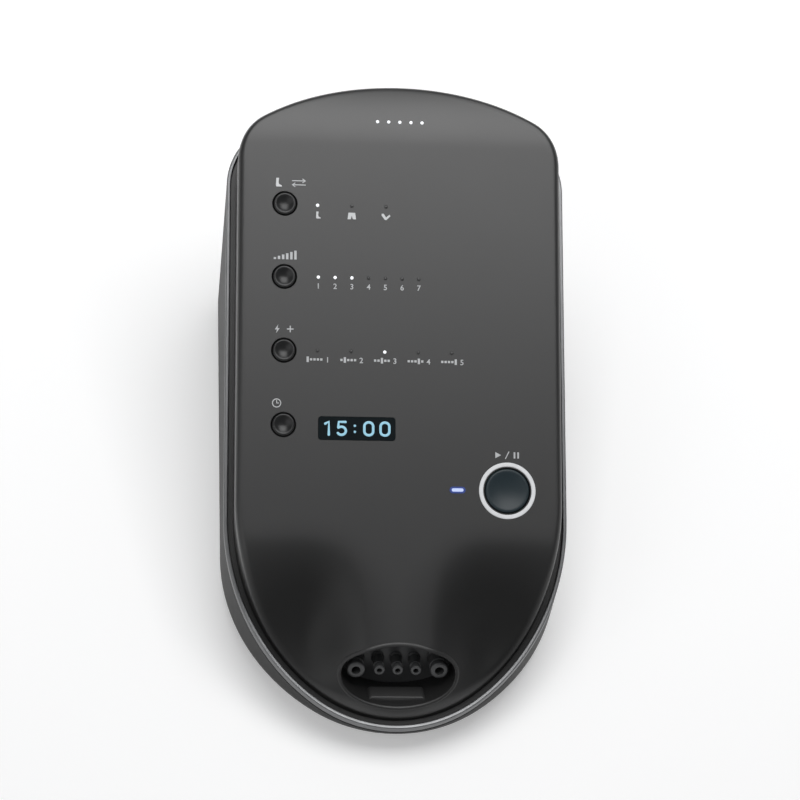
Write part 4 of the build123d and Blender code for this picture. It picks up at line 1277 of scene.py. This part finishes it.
# %% Power key
POWER, POWER_RADIUS, POWER_PROUD = (mm(17), mm(24)), mm(6), mm(1)
power_profile = dished(POWER_RADIUS, POWER_PROUD, mm(0.02), mm(0.5), mm(-5))
power_sign = [arc(0, 0, 1.9, 1.9, 125, 415, 24), [(0, 2.2), (0, 0.9)]]
bezel_profile = in_mm([(6.4, -0.6), (8.0, -0.6), (8.0, 0.1), (7.7, 0.4), (6.7, 0.4), (6.4, 0.1),
                       (6.4, -0.6)])
cap = turned("power_key_cap", power_profile, heel_matrix(*POWER), 64)
dress(cap, KEY, "key", "power_button", body="power_key")
sign = line_marks("power_sign", power_sign, heel_matrix(*POWER, POWER_PROUD), 0.4)
dress(sign, PRINT, "key", body="power_key")
dress(turned("power_bezel", bezel_profile, heel_matrix(*POWER), 64), SOCKET, "socket")

# %% Charging jack
JACK, POLARITY_DOWN = (mm(-17), mm(24)), mm(9)
liner = in_mm([(2.55, -8.5), (2.8, -8.5), (2.8, 0.0), (3.7, 0.0), (3.7, 0.25), (3.5, 0.4),
               (2.8, 0.4), (2.55, 0.1), (2.55, -8.5)])
pin = in_mm([(0, -9), (1.06, -9), (1.06, -1.4), (0.8, -0.9), (0.45, -0.9), (0.45, -3), (0, -3)])
contacts = [turned("jack_liner", liner, heel_matrix(*JACK), 48),
            turned("jack_pin", pin, heel_matrix(*JACK), 24)]
dress(join(contacts, "jack_contacts"), STEEL, "steel")
polarity = [
    arc(0, 0, 0.95, 0.95, 40, 320, 16), [(0, 0)], circle(-3.4, 0, 0.85, 16),
    circle(3.4, 0, 0.85, 16), [(-2.5, 0), (-1.0, 0)], [(0, 0), (2.5, 0)], [(-3.8, 0), (-3.0, 0)],
    [(3.0, 0), (3.8, 0)], [(3.4, 0.4), (3.4, -0.4)]]
place = heel_matrix(JACK[0], JACK[1] - POLARITY_DOWN)
dress(line_marks("polarity_sign", polarity, place, 0.25), PRINT, "window")


# %% [markdown]
# ## Feet
# Four equal feet stand on the corners of a rectangle. One foot is turned from a profile with two
# grooves in its sole, which give grip, and a tree places a copy on each point of a small grid.

# %% Rubber feet
FEET_WIDTH, FEET_LENGTH, FEET_MIDDLE = mm(76), mm(140), mm(8)
foot_profile = in_mm([(0, 0.35), (2.4, 0.35), (2.7, 0), (3.5, 0), (3.7, 0.35), (4.2, 0.35),
                      (4.4, 0), (5.2, 0), (5.8, 0.25), (6, 0.8), (6, 3.8), (0, 3.8)])


def grid_tree():
    """Copies of a piece on the corners of a rectangle."""
    tree = Tree("corner_copies", Piece=None, Width=mm(70), Length=mm(140))
    size = {"Size X": tree["Width"], "Size Y": tree["Length"]}
    corners = tree.node("MeshGrid", {**size, "Vertices X": 2, "Vertices Y": 2})
    piece = tree.node("ObjectInfo", {"Object": tree["Piece"]}, "Geometry")
    copies = {"Points": corners, "Instance": piece}
    return tree.close(tree.node("InstanceOnPoints", copies))


foot = turned("foot", foot_profile, Matrix(), 48)
feet = empty_piece("feet")
feet = grid_tree().run(feet, RUBBER, Piece=foot, Width=FEET_WIDTH, Length=FEET_LENGTH)
bpy.data.objects.remove(foot)
feet.data.transform(Matrix.Translation((0, FEET_MIDDLE, 0)))
dress(shade(feet), RUBBER, "rubber", "rubber_feet")


# %% [markdown]
# ## Floor, lights and camera
# The floor is plain and pale, and its far edge bends up all round. A broad soft light stands over
# the thick end of the unit, so that the sheen of the cover fades from its top end down to the
# scoop, and a weak one fills in from the left. The camera looks at the face almost squarely, from a
# little to the left and a little towards the toe.

# %% Floor
def floor_material():
    """Pale floor that is lit from within where it is seen, so that it stays pale to its edge."""
    finish = Finish("pale_floor", Roughness=0.9, Emission_Strength=1.0)
    finish.set("Base Color", finish.mix(finish.noise(0.8), grey(0.8), grey(0.82)))
    rays = finish.tree.nodes.new("ShaderNodeLightPath").outputs
    seen = {0: rays["Is Camera Ray"], 1: rays["Is Glossy Ray"]}
    seen = finish.node("ShaderNodeMath", seen, operation="MAXIMUM")
    seen = seen.math("MAXIMUM", seen, rays["Is Transmission Ray"])
    inputs = {0: finish.coordinates}
    distance = finish.node("ShaderNodeVectorMath", inputs, output=1, operation="LENGTH")
    glow = seen * (0.3 + distance.between(0.25, 1.4) * 0.5)
    finish.set("Emission Color", finish.mix(glow, grey(0.0), grey(1.0)))
    return finish.material


floor_profile = [(0.001, 0), (1, 0), (3, 0), (4.5, 0), (5.3, 0.08), (5.7, 0.3), (5.9, 0.7),
                 (6, 1.5)]
floor = finish_mesh("floor", *skin(rings(floor_profile, 96), cap_first=True), closed=False)
floor.data.materials.append(floor_material())
floor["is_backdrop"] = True


# %% Lights
def area_light(name, place, size, power):
    """Rectangular lamp that shines along its place's own -Z axis."""
    data = bpy.data.lights.new(name, "AREA")
    data.shape, data.energy = "RECTANGLE", power
    data.size, data.size_y = size
    new_object(name, data).matrix_world = place


SOFT_BOX = face_matrix(mm(95), mm(-640), mm(-800))
FILL_PLACE = Vector((-0.8, -0.6, 0.9))
fill_turn = FILL_PLACE.to_track_quat("Z", "Y").to_matrix().to_4x4()
area_light("top_soft_box", SOFT_BOX, (0.8, 1.0), 10.6)
area_light("side_fill", Matrix.Translation(FILL_PLACE) @ fill_turn, (0.9, 0.9), 2.2)

world = bpy.data.worlds.new("studio")
world.use_nodes = True
sky = world.node_tree.nodes["Background"].inputs
sky["Color"].default_value = (0.97, 0.98, 1.0, 1.0)
sky["Strength"].default_value = 0.25
bpy.context.scene.world = world

# %% Camera
CAMERA_TURN, CAMERA_RISE = math.radians(-6), math.radians(-10)
CAMERA_DISTANCE, CAMERA_LENS, CAMERA_DOWN = 1.0, 128, mm(116)
direction = (
    FACE_NORMAL * math.cos(CAMERA_RISE) * math.cos(CAMERA_TURN)
    + ACROSS * math.cos(CAMERA_RISE) * math.sin(CAMERA_TURN)
    + UP_SLOPE * math.sin(CAMERA_RISE)
)
back = direction.normalized()
across = UP_SLOPE.cross(back).normalized()
spot = face_matrix(0, CAMERA_DOWN).translation + direction * CAMERA_DISTANCE
camera = new_object("camera", bpy.data.cameras.new("camera"))
camera.data.lens = CAMERA_LENS
camera.matrix_world = with_axes(spot, across, back.cross(across), back)
bpy.context.scene.camera = camera
bpy.context.scene.view_settings.view_transform = "Standard"
print("camera at", spot)

# %% Size of the dressed model, and the end
low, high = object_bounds()
print("visual box", low, high)
